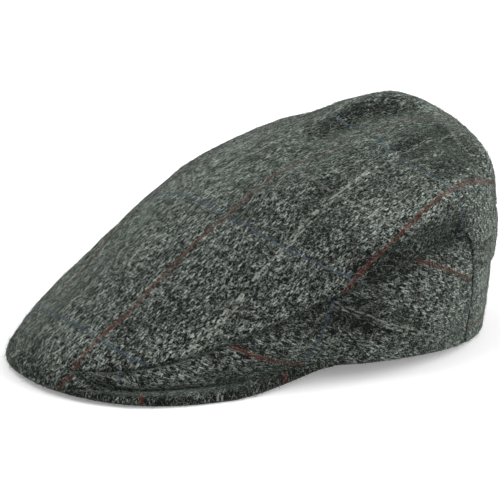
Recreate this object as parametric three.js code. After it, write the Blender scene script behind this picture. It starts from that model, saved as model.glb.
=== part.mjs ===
// A tweed flat cap: a one-piece top, two tapering side panels, a back panel and a
// covered peak. Millimetres, +Z up, the peak towards -Y, the wearer's left at +X.
// The cap rests on the back of its hem and on the two low sides of its peak.
import * as THREE from "three";

// ---- Driving sizes --------------------------------------------------------------

const WALL = 2.6; // cloth with the backing that stiffens it
const SEAM_GAP = 0.3; // clear space between neighbouring pieces
const CROWN_Z = 100.5; // height over the middle of the head opening
const HEART = new THREE.Vector3(0, 10, 35); // folds push towards this inner point

// Heights on the shell are counted in levels: the table's five named points, then the top.
const RIM = 0;
const SWELL = 1;
const SEAM = 2;
const TOP = 5;

// One row for each direction, turned from the front (0) round to the back (180). Each
// pair is a distance from the upright axis of the head opening and a height. The swell is
// where the side stands out most, and the brow is where the top turns down to the side.
const SECTIONS = [
  { turn: 0, rim: [154, 5.5], swell: [154.5, 9], seam: [151.5, 13.5], brow: [115, 41.5], crown: [60, 78.5] },
  { turn: 10, rim: [152.5, 5.7], swell: [153, 9.5], seam: [150, 14], brow: [115, 41.5], crown: [60, 78.5] },
  { turn: 22, rim: [135.5, 6], swell: [138.5, 11], seam: [136, 16], brow: [110.5, 42], crown: [59.5, 78.5] },
  { turn: 40, rim: [105, 6], swell: [110, 15], seam: [108.5, 26.5], brow: [97, 46], crown: [58, 80] },
  { turn: 60, rim: [85, 8], swell: [92, 22], seam: [94, 39.5], brow: [86, 57], crown: [57, 82.5] },
  { turn: 80, rim: [85.5, 8], swell: [92, 30], seam: [93.5, 51.5], brow: [86, 67], crown: [56.5, 86.5] },
  { turn: 100, rim: [85.8, 6.3], swell: [93.5, 32], seam: [94.5, 61], brow: [88.5, 76], crown: [58.5, 92] },
  { turn: 120, rim: [89.4, 3.7], swell: [96.5, 33.5], seam: [97.5, 65], brow: [94, 83], crown: [62, 98.5] },
  { turn: 140, rim: [95.5, 1.3], swell: [99.8, 36], seam: [101.5, 65], brow: [98.5, 87], crown: [66, 105] },
  { turn: 160, rim: [102, 0], swell: [105.5, 37], seam: [106.5, 65.5], brow: [102, 91], crown: [69, 111.5] },
  { turn: 180, rim: [105.5, 0], swell: [108.5, 37], seam: [109.5, 65], brow: [104, 93.5], crown: [71, 117] },
];

// The covered peak, a crescent plate. Radii and heights as above; it thins at its corners.
const PEAK = [
  { turn: 0, edge: 155, underside: 2.5, thick: 5, inner: 100, innerZ: 15 },
  { turn: 10, edge: 153, underside: 2.1, thick: 5, inner: 99.3, innerZ: 14.7 },
  { turn: 22, edge: 144.5, underside: 1.1, thick: 5, inner: 97, innerZ: 13.8 },
  { turn: 40, edge: 116, underside: 0, thick: 5, inner: 89, innerZ: 11 },
  { turn: 55, edge: 91.5, underside: 1.6, thick: 4.5, inner: 83.5, innerZ: 8.3 },
  { turn: 70, edge: 86.4, underside: 6.2, thick: 1.6, inner: 81.5, innerZ: 7 },
];

// Soft folds and dents: each is a groove between two points on the cloth. Its width is
// the reach of the groove to either side, and a depth below zero raises a ridge.
const FOLDS = [
  { name: "crown valley", from: [4, 18, 107], to: [16, 54, 115], width: 12, depth: 5 },
  { name: "crown ridge", from: [28, 14, 103], to: [18, 66, 114], width: 9, depth: -1.6 },
  { name: "rear valley", from: [52, 36, 100], to: [40, 66, 105], width: 9, depth: 2.6 },
  { name: "rear shoulder dent", from: [48, 68, 101], to: [64, 70, 91], width: 9, depth: 2.6 },
  { name: "left seam sag", from: [91, -20, 54], to: [90, 36, 70], width: 10, depth: 3.4 },
  { name: "left side hollow", from: [89, -36, 34], to: [92, -18, 33], width: 9, depth: 2 },
  { name: "left hem pinch", from: [91, 8, 24], to: [91, 12, 18], width: 8, depth: 1.6 },
  { name: "right seam sag", from: [-92, -16, 56], to: [-92, 30, 69], width: 10, depth: 2.6 },
  { name: "right crown dent", from: [-30, 30, 104], to: [-44, 48, 102], width: 13, depth: 2.4 },
];

// Seams: where the side panels begin, taper and end, and how far the top reaches down.
const SIDE_START = 10; // azimuth of a side panel's front tip
const SIDE_END_RIM = 127; // azimuth of its back seam at the hem
const SIDE_END_SEAM = 118; // and at the top seam
const TIP_LEVEL = 1.76; // lower corner of the front tip
const TAPER_COLUMNS = 3; // columns over which the panel reaches the rim
const BACK_TOP_SIDE = 1.42; // level of the back panel's top edge at its sides
const BACK_TOP_MIDDLE = 1.15; // and in the middle
const OVERHANG = 1.4; // how far the top panel stands over the back panel
const OVERHANG_REACH = 14; // degrees over which that grows from the side seam
const SEAM_DRAW = 0.9; // how far a seam draws the cloth in
const SEAM_DRAW_WIDTH = 0.09; // reach of that, in levels

// Facets
const SIDE_COLUMNS = 26;
const FRONT_COLUMNS = 6;
const BACK_COLUMNS = 26;
const SIDE_ROWS = [0, 0.12, 0.3, 0.5, 0.7, 0.88, 1];
const TAIL_ROWS = [0, 0.35, 0.7, 1];
const TOP_LEVELS = [2, 2.12, 2.35, 2.65, 3, 3.3, 3.6, 3.9, 4.2, 4.5, 4.75];
const CORNER_COLUMN = 13; // the side column where the peak's corner lies
const LEDGE = WALL + 0.4; // width of the peak's ledge that carries the panels
const LIP_ROWS = 5; // rows from the peak's rounded edge up to that ledge

// ---- Curves through the tables -----------------------------------------------------

function smooth(t) {
  const s = THREE.MathUtils.clamp(t, 0, 1);
  return s * s * (3 - 2 * s);
}

// Smooth curve through values at rising knots, with level ends where asked.
function curveThrough(knots, values, at, levelEnds) {
  const last = knots.length - 1;
  let i = 0;
  while (i < last - 1 && at > knots[i + 1]) i += 1;
  const slope = (k) => (values[k + 1] - values[k]) / (knots[k + 1] - knots[k]);
  const tangent = (k) => {
    if (k === 0) return levelEnds ? 0 : slope(0);
    if (k === last) return levelEnds ? 0 : slope(last - 1);
    const before = knots[k] - knots[k - 1];
    const after = knots[k + 1] - knots[k];
    return (slope(k - 1) * after + slope(k) * before) / (before + after);
  };
  const span = knots[i + 1] - knots[i];
  const t = (at - knots[i]) / span;
  return (
    values[i] * (1 + 2 * t) * (1 - t) ** 2 +
    values[i + 1] * t * t * (3 - 2 * t) +
    tangent(i) * span * t * (1 - t) ** 2 +
    tangent(i + 1) * span * t * t * (t - 1)
  );
}

const SECTION_TURNS = SECTIONS.map((row) => row.turn);
const LEVEL_NAMES = ["rim", "swell", "seam", "brow", "crown"];

// One named point of the profile in one direction; both halves of the cap are alike.
function tablePoint(name, azimuth) {
  const side = Math.abs(THREE.MathUtils.euclideanModulo(azimuth + 180, 360) - 180);
  const radius = curveThrough(SECTION_TURNS, SECTIONS.map((row) => row[name][0]), side, true);
  const height = curveThrough(SECTION_TURNS, SECTIONS.map((row) => row[name][1]), side, true);
  return new THREE.Vector2(radius, Math.max(height, 0));
}

// The five points and the top of the profile in one direction. The crown point of the
// other side follows, so that the curve runs smoothly over the top.
function profileAt(azimuth) {
  const beyond = tablePoint("crown", azimuth + 180);
  return [
    ...LEVEL_NAMES.map((name) => tablePoint(name, azimuth)),
    new THREE.Vector2(0, CROWN_Z),
    new THREE.Vector2(-beyond.x, beyond.y),
  ];
}

function onAzimuth(azimuth, radius, height) {
  const turn = THREE.MathUtils.degToRad(azimuth);
  return new THREE.Vector3(radius * Math.sin(turn), -radius * Math.cos(turn), height);
}

// The smooth form without folds, at one azimuth and level.
function formPoint(azimuth, level) {
  const points = profileAt(azimuth);
  const along = [0];
  for (let k = 1; k < points.length; k += 1) {
    along.push(along[k - 1] + points[k].distanceTo(points[k - 1]));
  }
  const step = Math.min(Math.floor(level), TOP - 1);
  const at = along[step] + (level - step) * (along[step + 1] - along[step]);
  const radius = curveThrough(along, points.map((p) => p.x), at, false);
  const height = curveThrough(along, points.map((p) => p.y), at, false);
  return onAzimuth(azimuth, radius, height);
}

// ---- Seam lines and folds -------------------------------------------------------------

function sideEnd(level) {
  return SIDE_END_RIM + (SIDE_END_SEAM - SIDE_END_RIM) * Math.min(level / SEAM, 1);
}

// Azimuth of a point in a side panel, for a share of the way from its tip to its back.
function sideAzimuth(share, level) {
  return SIDE_START + share * (sideEnd(level) - SIDE_START);
}

// Azimuth behind the side panels, for a share of the way round the back.
function backAzimuth(share, level) {
  const start = sideEnd(level);
  return start + share * (360 - 2 * start);
}

function backTop(share) {
  const toMiddle = smooth(Math.min(share, 1 - share) / 0.2);
  return BACK_TOP_SIDE + (BACK_TOP_MIDDLE - BACK_TOP_SIDE) * toMiddle;
}

// How deep all folds together push the cloth in at a point.
function foldDepth(point) {
  let depth = 0;
  for (const fold of FOLDS) {
    const line = new THREE.Line3(new THREE.Vector3(...fold.from), new THREE.Vector3(...fold.to));
    const nearest = line.closestPointToPoint(point, true, new THREE.Vector3());
    depth += fold.depth * Math.exp(-((nearest.distanceTo(point) / fold.width) ** 2));
  }
  return depth;
}

// The outside of the cloth. A lift moves it outwards.
function shellPoint(azimuth, level, lift = 0) {
  const point = formPoint(azimuth, level);
  const outwards = point.clone().sub(HEART).normalize();
  const fade = smooth(level / 0.5);
  const seamDraw = SEAM_DRAW * Math.exp(-(((level - SEAM) / SEAM_DRAW_WIDTH) ** 2));
  return point.addScaledVector(outwards, lift - (foldDepth(point) + seamDraw) * fade);
}

// Outward direction of the cloth. At the rim it lies flat, so that the hem's edge does.
function shellNormal(azimuth, level) {
  const step = 0.02;
  const normal = new THREE.Vector3();
  const turns = level > TOP - step ? [0, 60, 120, 180, 240, 300] : [azimuth];
  for (const turn of turns) {
    const middle = Math.min(level, TOP - 2 * step);
    const across = shellPoint(turn + 1, middle).sub(shellPoint(turn - 1, middle));
    const low = Math.max(middle - step, RIM);
    const up = shellPoint(turn, middle + step).sub(shellPoint(turn, low));
    normal.add(across.cross(up).normalize());
  }
  if (level <= RIM) normal.z = 0;
  return normal.normalize();
}

// Turns a length along the profile into a difference of level.
function levelsFor(azimuth, level, length) {
  const step = 0.02;
  const reach = shellPoint(azimuth, level + step).distanceTo(shellPoint(azimuth, level));
  return (length * step) / reach;
}

// ---- Closed bodies ----------------------------------------------------------------------

// Collects shared points and the faces between them.
class Surface {
  constructor() {
    this.points = [];
    this.faces = [];
  }

  add(point) {
    this.points.push(point);
    return this.points.length - 1;
  }

  quad(a, b, c, d) {
    this.faces.push([a, b, c], [a, c, d]);
  }

  mesh(name, material) {
    const geometry = new THREE.BufferGeometry();
    const positions = this.points.flatMap((point) => point.toArray());
    geometry.setAttribute("position", new THREE.Float32BufferAttribute(positions, 3));
    geometry.setIndex(this.faces.flat());
    geometry.computeVertexNormals();
    const mesh = new THREE.Mesh(geometry, material);
    mesh.name = name;
    return mesh;
  }
}

// One sheet of cloth: spots are places on the shell, faces join them seen from outside.
// The inside is a second sheet one wall deeper, and open edges are closed between them.
function clothBody(name, material, spots, faces) {
  const surface = new Surface();
  const outer = spots.map((spot) => surface.add(shellPoint(spot.azimuth, spot.level, spot.lift)));
  const inner = spots.map((spot, i) => {
    const normal = shellNormal(spot.azimuth, spot.level);
    return surface.add(surface.points[outer[i]].clone().addScaledVector(normal, -WALL));
  });
  const edges = new Map();
  for (const [a, b, c] of faces) {
    surface.faces.push([outer[a], outer[b], outer[c]], [inner[c], inner[b], inner[a]]);
    for (const [from, to] of [[a, b], [b, c], [c, a]]) {
      if (!edges.delete(`${to},${from}`)) edges.set(`${from},${to}`, [from, to]);
    }
  }
  for (const [from, to] of edges.values()) {
    surface.quad(outer[to], outer[from], inner[from], inner[to]);
  }
  return surface.mesh(name, material);
}

// Joins two rows of spots of equal length; the second row lies above the first.
function band(faces, lower, upper) {
  for (let k = 0; k + 1 < lower.length; k += 1) {
    faces.push([lower[k], lower[k + 1], upper[k + 1]], [lower[k], upper[k + 1], upper[k]]);
  }
}

function shares(columns) {
  return Array.from({ length: columns + 1 }, (_, k) => k / columns);
}

// ---- The pieces ---------------------------------------------------------------------------

// The level where a side panel's lower edge runs, column by column.
function lowerLevel(column) {
  return TIP_LEVEL * (1 - smooth(column / TAPER_COLUMNS));
}

// A point of a side panel, set in from the panel's edges by half a seam.
function sideSpot(column, row, hand) {
  const share = column / SIDE_COLUMNS;
  const low = lowerLevel(column);
  const azimuth = sideAzimuth(share, low);
  const raise = low > 0 || column < CORNER_COLUMN ? levelsFor(azimuth, low, SEAM_GAP) : 0;
  const top = SEAM - levelsFor(sideAzimuth(share, SEAM), SEAM - 0.05, SEAM_GAP / 2);
  const level = low + raise + row * (top - low - raise);
  const inset = column === SIDE_COLUMNS ? 0.1 : 0;
  return { azimuth: hand * (sideAzimuth(share, level) - inset), level };
}

function sidePanel(name, hand, material) {
  const spots = [];
  const rows = SIDE_ROWS.map((row) =>
    shares(SIDE_COLUMNS).map((share) => spots.push(sideSpot(share * SIDE_COLUMNS, row, hand)) - 1),
  );
  const faces = [];
  for (let k = 0; k + 1 < rows.length; k += 1) band(faces, rows[k], rows[k + 1]);
  if (hand < 0) faces.forEach((face) => face.reverse());
  return clothBody(name, material, spots, faces);
}

// How far the top panel stands out over the back panel at a share of the way round.
function overhang(share, level) {
  const degrees = Math.min(share, 1 - share) * (360 - 2 * SIDE_END_SEAM);
  return OVERHANG * smooth(degrees / OVERHANG_REACH) * smooth((2.6 - level) / 1.2);
}

// The azimuths of the top seam, once round: front, left side, back, right side.
function ringSpots(level) {
  const front = shares(FRONT_COLUMNS).slice(0, -1);
  const side = shares(SIDE_COLUMNS).slice(0, -1);
  const back = shares(BACK_COLUMNS).slice(0, -1);
  return [
    ...front.map((share) => ({ azimuth: (2 * share - 1) * SIDE_START, level })),
    ...side.map((share) => ({ azimuth: sideAzimuth(share, SEAM), level })),
    ...back.map((share) => ({ azimuth: backAzimuth(share, SEAM), level, lift: overhang(share, level) })),
    ...side.map((share) => ({ azimuth: -sideAzimuth(1 - share, SEAM), level })),
  ];
}

function topPanel(material) {
  const spots = [];
  const faces = [];
  const backStart = FRONT_COLUMNS + SIDE_COLUMNS;
  const rings = TOP_LEVELS.map((level) => {
    const ring = ringSpots(level).map((spot, k) => {
      const onEdge = level === SEAM && (k <= backStart || k >= backStart + BACK_COLUMNS);
      if (onEdge) spot.level += levelsFor(spot.azimuth, SEAM + 0.05, SEAM_GAP / 2);
      return spots.push(spot) - 1;
    });
    return [...ring, ring[0]];
  });
  for (let k = 0; k + 1 < rings.length; k += 1) band(faces, rings[k], rings[k + 1]);
  const pole = spots.push({ azimuth: 0, level: TOP }) - 1;
  const lastRing = rings[rings.length - 1];
  for (let k = 0; k + 1 < lastRing.length; k += 1) faces.push([lastRing[k], lastRing[k + 1], pole]);

  // The tail below the back of the first ring, down to the back panel.
  const tailTop = rings[0].slice(backStart, backStart + BACK_COLUMNS + 1);
  let above = tailTop;
  for (const row of TAIL_ROWS.slice(1)) {
    const below = shares(BACK_COLUMNS).map((share, k) => {
      const end = backTop(share) + levelsFor(180, SWELL, SEAM_GAP / 2);
      const level = SEAM + row * (end - SEAM);
      const inset = k === 0 ? 0.1 : k === BACK_COLUMNS ? -0.1 : 0;
      const azimuth = backAzimuth(share, level) + inset;
      return spots.push({ azimuth, level, lift: overhang(share, level) }) - 1;
    });
    band(faces, below, above);
    above = below;
  }
  return clothBody("top_panel", material, spots, faces);
}

function backPanel(material) {
  const spots = [];
  const rows = SIDE_ROWS.map((row) =>
    shares(BACK_COLUMNS).map((share, k) => {
      const level = row * (backTop(share) - levelsFor(180, SWELL, SEAM_GAP / 2));
      const inset = k === 0 ? 0.1 : k === BACK_COLUMNS ? -0.1 : 0;
      return spots.push({ azimuth: backAzimuth(share, level) + inset, level }) - 1;
    }),
  );
  const faces = [];
  for (let k = 0; k + 1 < rows.length; k += 1) band(faces, rows[k], rows[k + 1]);
  return clothBody("back_panel", material, spots, faces);
}

// ---- The peak -------------------------------------------------------------------------------

const PEAK_TURNS = PEAK.map((row) => row.turn);

function peakSize(name, azimuth) {
  return Math.max(curveThrough(PEAK_TURNS, PEAK.map((row) => row[name]), Math.abs(azimuth), true), 0);
}

// Spreads a number of points evenly along a broken line.
function spread(line, count) {
  const along = [0];
  for (let k = 1; k < line.length; k += 1) along.push(along[k - 1] + line[k].distanceTo(line[k - 1]));
  return Array.from({ length: count }, (_, n) => {
    const at = (along[along.length - 1] * n) / (count - 1);
    const next = Math.max(along.findIndex((length) => length >= at), 1);
    const share = (at - along[next - 1]) / Math.max(along[next] - along[next - 1], 1e-6);
    return line[next - 1].clone().lerp(line[next], THREE.MathUtils.clamp(share, 0, 1));
  });
}

// The closed outline of the peak at one azimuth, anticlockwise with the edge to the right.
function peakOutline(azimuth, topLevel) {
  const edge = peakSize("edge", azimuth);
  const under = peakSize("underside", azimuth);
  const thick = peakSize("thick", azimuth);
  const inner = peakSize("inner", azimuth);
  const innerZ = peakSize("innerZ", azimuth);
  const rim = formPoint(azimuth, RIM);
  const rimRadius = Math.hypot(rim.x, rim.y);
  const inwards = THREE.MathUtils.clamp((edge - rimRadius - 1) / (thick / 2), 0, 1);
  const round = [
    onAzimuth(azimuth, edge - thick / 2, under),
    onAzimuth(azimuth, edge - thick * 0.15, under + thick * 0.15),
    onAzimuth(azimuth, edge, under + thick / 2),
  ];
  const lip = [
    round[2],
    onAzimuth(azimuth, edge - thick * 0.15 * inwards, under + thick * (0.5 + 0.35 * inwards)),
    onAzimuth(azimuth, edge - (thick / 2) * inwards, under + thick * (0.5 + 0.5 * inwards)),
    rim,
  ];
  const steps = topLevel > 0 ? 4 : 0;
  for (let k = 1; k <= steps; k += 1) lip.push(shellPoint(azimuth, (topLevel * k) / steps));
  const outside = [...round, ...spread(lip, LIP_ROWS + 1).slice(1)];
  const ledge = lip[lip.length - 1].clone().addScaledVector(shellNormal(azimuth, topLevel), -LEDGE);
  const innerTop = onAzimuth(azimuth, inner, innerZ + thick / 2);
  const innerUnder = onAzimuth(azimuth, inner, innerZ - thick / 2);
  const ledgeRadius = Math.hypot(ledge.x, ledge.y);
  const foot = (ledgeRadius - inner) / (edge - inner);
  const footZ = Math.min(ledge.z, THREE.MathUtils.lerp(innerTop.z, under + thick, foot));
  const behind = onAzimuth(azimuth, ledgeRadius - 1, footZ);
  const middleTop = behind.clone().lerp(innerTop, 0.5);
  const middleUnder = innerUnder.clone().lerp(round[0], 0.5);
  return [...outside, ledge, behind, middleTop, innerTop, innerUnder, middleUnder];
}

// Where the peak is cut across, from its left corner over the front to its right corner.
function peakStations() {
  const left = [];
  for (let column = CORNER_COLUMN; column >= 0; column -= 1) {
    const low = lowerLevel(column);
    const azimuth = sideAzimuth(column / SIDE_COLUMNS, low);
    left.push({ azimuth, topLevel: low > 0 ? low - levelsFor(azimuth, low, SEAM_GAP) : 0 });
  }
  const clear = 0.35;
  const front = shares(FRONT_COLUMNS).map((share) => {
    const azimuth = (1 - 2 * share) * (SIDE_START - clear);
    return { azimuth, topLevel: SEAM - levelsFor(azimuth, SEAM, SEAM_GAP / 2) };
  });
  const right = left.map((station) => ({ azimuth: -station.azimuth, topLevel: station.topLevel }));
  return [...left, ...front, ...right.reverse()];
}

function peak(material) {
  const surface = new Surface();
  const rings = peakStations().map((station) =>
    peakOutline(station.azimuth, station.topLevel).map((point) => surface.add(point)),
  );
  for (let s = 0; s + 1 < rings.length; s += 1) {
    const here = rings[s];
    const next = rings[s + 1];
    for (let k = 0; k < here.length; k += 1) {
      const after = (k + 1) % here.length;
      surface.quad(here[k], here[after], next[after], next[k]);
    }
  }
  const first = rings[0];
  const last = rings[rings.length - 1];
  for (let k = 1; k + 1 < first.length; k += 1) {
    surface.faces.push([first[0], first[k + 1], first[k]], [last[0], last[k], last[k + 1]]);
  }
  return surface.mesh("peak", material);
}

// ---- The cap ----------------------------------------------------------------------------------

const tweed = (color) => new THREE.MeshStandardMaterial({ color, roughness: 0.95, metalness: 0 });

const cap = new THREE.Group();
cap.add(
  topPanel(tweed(0x4e524e)),
  sidePanel("side_panel_left", 1, tweed(0x484b47)),
  sidePanel("side_panel_right", -1, tweed(0x484b47)),
  backPanel(tweed(0x5a5e5a)),
  peak(tweed(0x3b3d38)),
);

// The origin is the middle of the cap's box, on the surface that it rests on.
const box = new THREE.Box3().setFromObject(cap);
const centre = box.getCenter(new THREE.Vector3());
cap.position.set(-centre.x, -centre.y, -box.min.z);
cap.updateMatrixWorld(true);

export default cap;
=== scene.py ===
"""A tweed flat cap: top, two side panels, back panel and covered peak, with its nap."""

import math

import bmesh
import bpy
import numpy as np
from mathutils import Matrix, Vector, noise


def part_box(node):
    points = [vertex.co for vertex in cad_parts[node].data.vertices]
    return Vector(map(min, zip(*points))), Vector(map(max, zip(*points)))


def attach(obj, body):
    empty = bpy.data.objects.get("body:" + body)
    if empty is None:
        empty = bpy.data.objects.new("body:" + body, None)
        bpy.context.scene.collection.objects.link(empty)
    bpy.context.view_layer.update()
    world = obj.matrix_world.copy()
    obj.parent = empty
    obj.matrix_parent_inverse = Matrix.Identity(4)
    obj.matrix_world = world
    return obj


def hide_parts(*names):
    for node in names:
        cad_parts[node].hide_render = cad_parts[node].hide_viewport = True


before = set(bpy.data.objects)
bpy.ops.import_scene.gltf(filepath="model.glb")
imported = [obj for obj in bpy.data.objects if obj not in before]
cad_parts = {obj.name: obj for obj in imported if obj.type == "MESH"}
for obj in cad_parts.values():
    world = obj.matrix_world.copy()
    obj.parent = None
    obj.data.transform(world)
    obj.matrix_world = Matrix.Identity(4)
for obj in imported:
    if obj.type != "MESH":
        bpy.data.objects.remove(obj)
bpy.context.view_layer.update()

bl_info = {
    "name": "Flat Cap",
    "version": (1, 0, 0),
    "blender": (4, 5, 0),
    "location": "View3D > Sidebar > Flat Cap",
    "description": "Makes a tweed flat cap from its shell, its seams and its weave",
    "category": "Add Mesh",
}

# ---- The form of the cap, in millimetres -------------------------------------------

SEAM = 2  # heights are counted in levels: rim, swell, seam, brow and crown, then the top
TOP = 5
CROWN_Z = 100.5
HEART = np.array([0.0, 10.0, 35.0])  # the cloth's outward directions start here

# One row for each direction, turned from the front (0) round to the back (180). The rim,
# swell, seam, brow and crown each have a distance from the upright axis of the head
# opening, and a height.
SECTIONS = (
    (0, (154, 5.5), (154.5, 9), (151.5, 13.5), (115, 41.5), (60, 78.5)),
    (10, (152.5, 5.7), (153, 9.5), (150, 14), (115, 41.5), (60, 78.5)),
    (22, (135.5, 6), (138.5, 11), (136, 16), (110.5, 42), (59.5, 78.5)),
    (40, (105, 6), (110, 15), (108.5, 26.5), (97, 46), (58, 80)),
    (60, (85, 8), (92, 22), (94, 39.5), (86, 57), (57, 82.5)),
    (80, (85.5, 8), (92, 30), (93.5, 51.5), (86, 67), (56.5, 86.5)),
    (100, (85.8, 6.3), (93.5, 32), (94.5, 61), (88.5, 76), (58.5, 92)),
    (120, (89.4, 3.7), (96.5, 33.5), (97.5, 65), (94, 83), (62, 98.5)),
    (140, (95.5, 1.3), (99.8, 36), (101.5, 65), (98.5, 87), (66, 105)),
    (160, (102, 0), (105.5, 37), (106.5, 65.5), (102, 91), (69, 111.5)),
    (180, (105.5, 0), (108.5, 37), (109.5, 65), (104, 93.5), (71, 117)),
)

# The covered peak, for each direction: the radius of its edge, the height of its
# underside, its thickness, and the radius and height of its inner end.
PEAK_NAMES = ("edge", "underside", "thick", "inner", "inner_z")
PEAK = (
    (0, 155, 2.5, 5, 100, 15),
    (10, 153, 2.1, 5, 99.3, 14.7),
    (22, 144.5, 1.1, 5, 97, 13.8),
    (40, 116, 0, 5, 89, 11),
    (55, 91.5, 1.6, 4.5, 83.5, 8.3),
    (70, 86.4, 6.2, 1.6, 81.5, 7),
)

# Soft folds and dents of the worn cloth: a groove from one point to another, its reach to
# either side and its depth. A depth below zero raises a ridge.
FOLDS = (
    ("crown valley", (4, 18, 107), (16, 54, 115), 12, 5),
    ("crown ridge", (28, 14, 103), (18, 66, 114), 9, -1.6),
    ("rear valley", (52, 36, 100), (40, 66, 105), 9, 2.6),
    ("rear shoulder dent", (48, 68, 101), (64, 70, 91), 9, 2.6),
    ("left seam sag", (91, -20, 54), (90, 36, 70), 10, 3.4),
    ("left side hollow", (89, -36, 34), (92, -18, 33), 9, 2),
    ("left hem pinch", (91, 8, 24), (91, 12, 18), 8, 1.6),
    ("right seam sag", (-92, -16, 56), (-92, 30, 69), 10, 2.6),
    ("right crown dent", (-30, 30, 104), (-44, 48, 102), 13, 2.4),
    ("left swell over the seam", (87, -10, 72), (83, 42, 84), 9, -2.4),
    ("left fold at the seam", (91, -4, 60), (89, 36, 68), 6, 1.8),
    ("left front sag", (85, -42, 41), (88, -18, 30), 8, 1.4),
    ("left hem swell", (89, -6, 16), (92, 34, 18), 10, -1.0),
    ("right swell over the seam", (-87, -14, 70), (-84, 36, 83), 9, -1.8),
    ("right fold at the seam", (-92, -8, 59), (-90, 30, 67), 6, 1.4),
    ("deep of the valley", (0, 30, 110), (12, 56, 115), 8, 1.6),
    ("shoulder crease", (44, 48, 102), (52, 60, 98), 5, 1.2),
    ("front flat", (28, -122, 31), (44, -112, 34), 12, 0.8),
)


def both_sides(path, width, amount):
    """Rows from point to point along a path on the left, and the same on the right."""
    paths = (path, [(-x, y, z) for x, y, z in path])
    return [(start, end, width, amount) for side in paths for start, end in zip(side, side[1:])]


# Painted shade (an amount above zero) and painted light (below zero) on the cloth, besides the painted shade
# and light that the folds give: a line from one point to another, its reach to either side, an amount.
FOLD_SHADE_DEPTH = 6.0  # a fold this deep gets as much painted shade as an amount of 1
PEAK_EDGE = [(24, -151, 4), (45, -141, 4), (65, -119, 4), (75, -89, 4), (76, -52, 4), (81, -30, 4)]
PAINTED_SHADES = (
    ((88, -14, 56), (85, 40, 71), 9, 0.45),
    ((70, -60, 30), (88, -18, 32), 9, 0.42),
    ((-88, -14, 56), (-85, 40, 71), 9, 0.35),
    ((-70, -60, 30), (-88, -18, 32), 8, 0.25),
    # painted shade over the peak and along its edge, and painted light up the back
    *both_sides([(0, -150, 9), (64, -84, 12), (82, -40, 10)], 8, 0.3),
    *both_sides(PEAK_EDGE, 6, 0.5),
    *both_sides([(0, 96, 40), (60, 86, 36)], 32, -0.8),
    # painted shade in the valleys at the back of the top
    ((47, 36, 100), (45, 50, 102), 6, 0.7),
    ((44, 53, 102), (36, 68, 103), 6, 0.55),
    ((66, 46, 94), (60, 60, 96), 6, 0.7),
    ((58, 63, 96), (49, 76, 96), 6, 0.55),
    ((4, 24, 108), (14, 54, 115), 9, 0.4),
    # painted shade on the side and the front, with painted light where the amount is below zero
    ((35, -118, 35), (46, -104, 40), 11, 0.2),
    ((86, -20, 52), (88, 4, 60), 6, 0.25),
    ((20, -40, 90), (50, 20, 96), 34, 0.18),
    ((40, -84, 60), (66, -30, 76), 26, 0.18),
    ((-10, -84, 66), (-40, -10, 98), 28, -0.3),
    ((90, 20, 34), (84, 52, 34), 16, -0.2),
)

SIDE_START = 10.0  # azimuth of a side panel's front tip
SIDE_END_RIM = 127.0  # azimuth of its back seam at the hem
SIDE_END_SEAM = 118.0  # and at the top seam
TIP_LEVEL = 1.76  # lower corner of the front tip
TAPER = 3 / 26  # share of a side panel over which it reaches down to the rim
BACK_TOP_SIDE = 1.42  # level of the back panel's top edge at its sides
BACK_TOP_MIDDLE = 1.15
BACK_TOP_FALL = 0.2  # share of its width over which it falls from one to the other
OVERHANG = 1.4  # how far the top stands over the back panel
OVERHANG_REACH = 14.0  # degrees behind a side panel over which it comes to do so
OVERHANG_TOP = 2.6  # level at which it does so no more
OVERHANG_FADE = 1.2
SEAM_DRAW = 0.9  # how deep the top seam draws the cloth in
SEAM_DRAW_WIDTH = 0.09  # and over how many levels
SEAM_FREE = 7.0  # up to this azimuth the top runs on over the peak's edge without a seam
SEAM_FREE_FADE = 9.0
HEM_FIRM = 0.5  # folds fade out below this level
LEVEL_STEP = 0.02  # the step over which slopes are measured
FAR = 100.0  # the distance of an edge that isn't there
PEAK_REACH = PEAK[0][1]

# The head opening's axis stands this far behind the middle of the cap.
AXIS_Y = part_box("peak")[0][1] * 1000 + PEAK_REACH


def smooth(t):
    s = np.clip(t, 0, 1)
    return s * s * (3 - 2 * s)


def slopes_at(slopes, gaps):
    """Slopes of a smooth curve at its inner knots, from the slopes between them."""
    return (slopes[:-1] * gaps[1:] + slopes[1:] * gaps[:-1]) / (gaps[1:] + gaps[:-1])


def hermite(values, slopes, low, high, span, t):
    """Values between the knots low and high, at a share t of the span from the low one."""
    return (
        values[low] * (1 + 2 * t) * (1 - t) ** 2
        + values[high] * t * t * (3 - 2 * t)
        + slopes[low] * span * t * (1 - t) ** 2
        + slopes[high] * span * t * t * (t - 1)
    )


def curve_through(knots, values, at):
    """Smooth curves through the columns of values at rising knots, level at both ends."""
    knots, values = np.asarray(knots, float), np.asarray(values, float)
    gaps = np.diff(knots)[:, None]
    slopes = np.zeros_like(values)
    slopes[1:-1] = slopes_at(np.diff(values, axis=0) / gaps, gaps)
    low = np.clip(np.searchsorted(knots, at, side="right") - 1, 0, len(knots) - 2)
    return hermite(values, slopes, low, low + 1, gaps[low], (at - knots[low])[:, None] / gaps[low])


def on_azimuth(azimuth, radius, height):
    turn = np.radians(azimuth)
    return np.stack([radius * np.sin(turn), -radius * np.cos(turn), height], -1)


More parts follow.
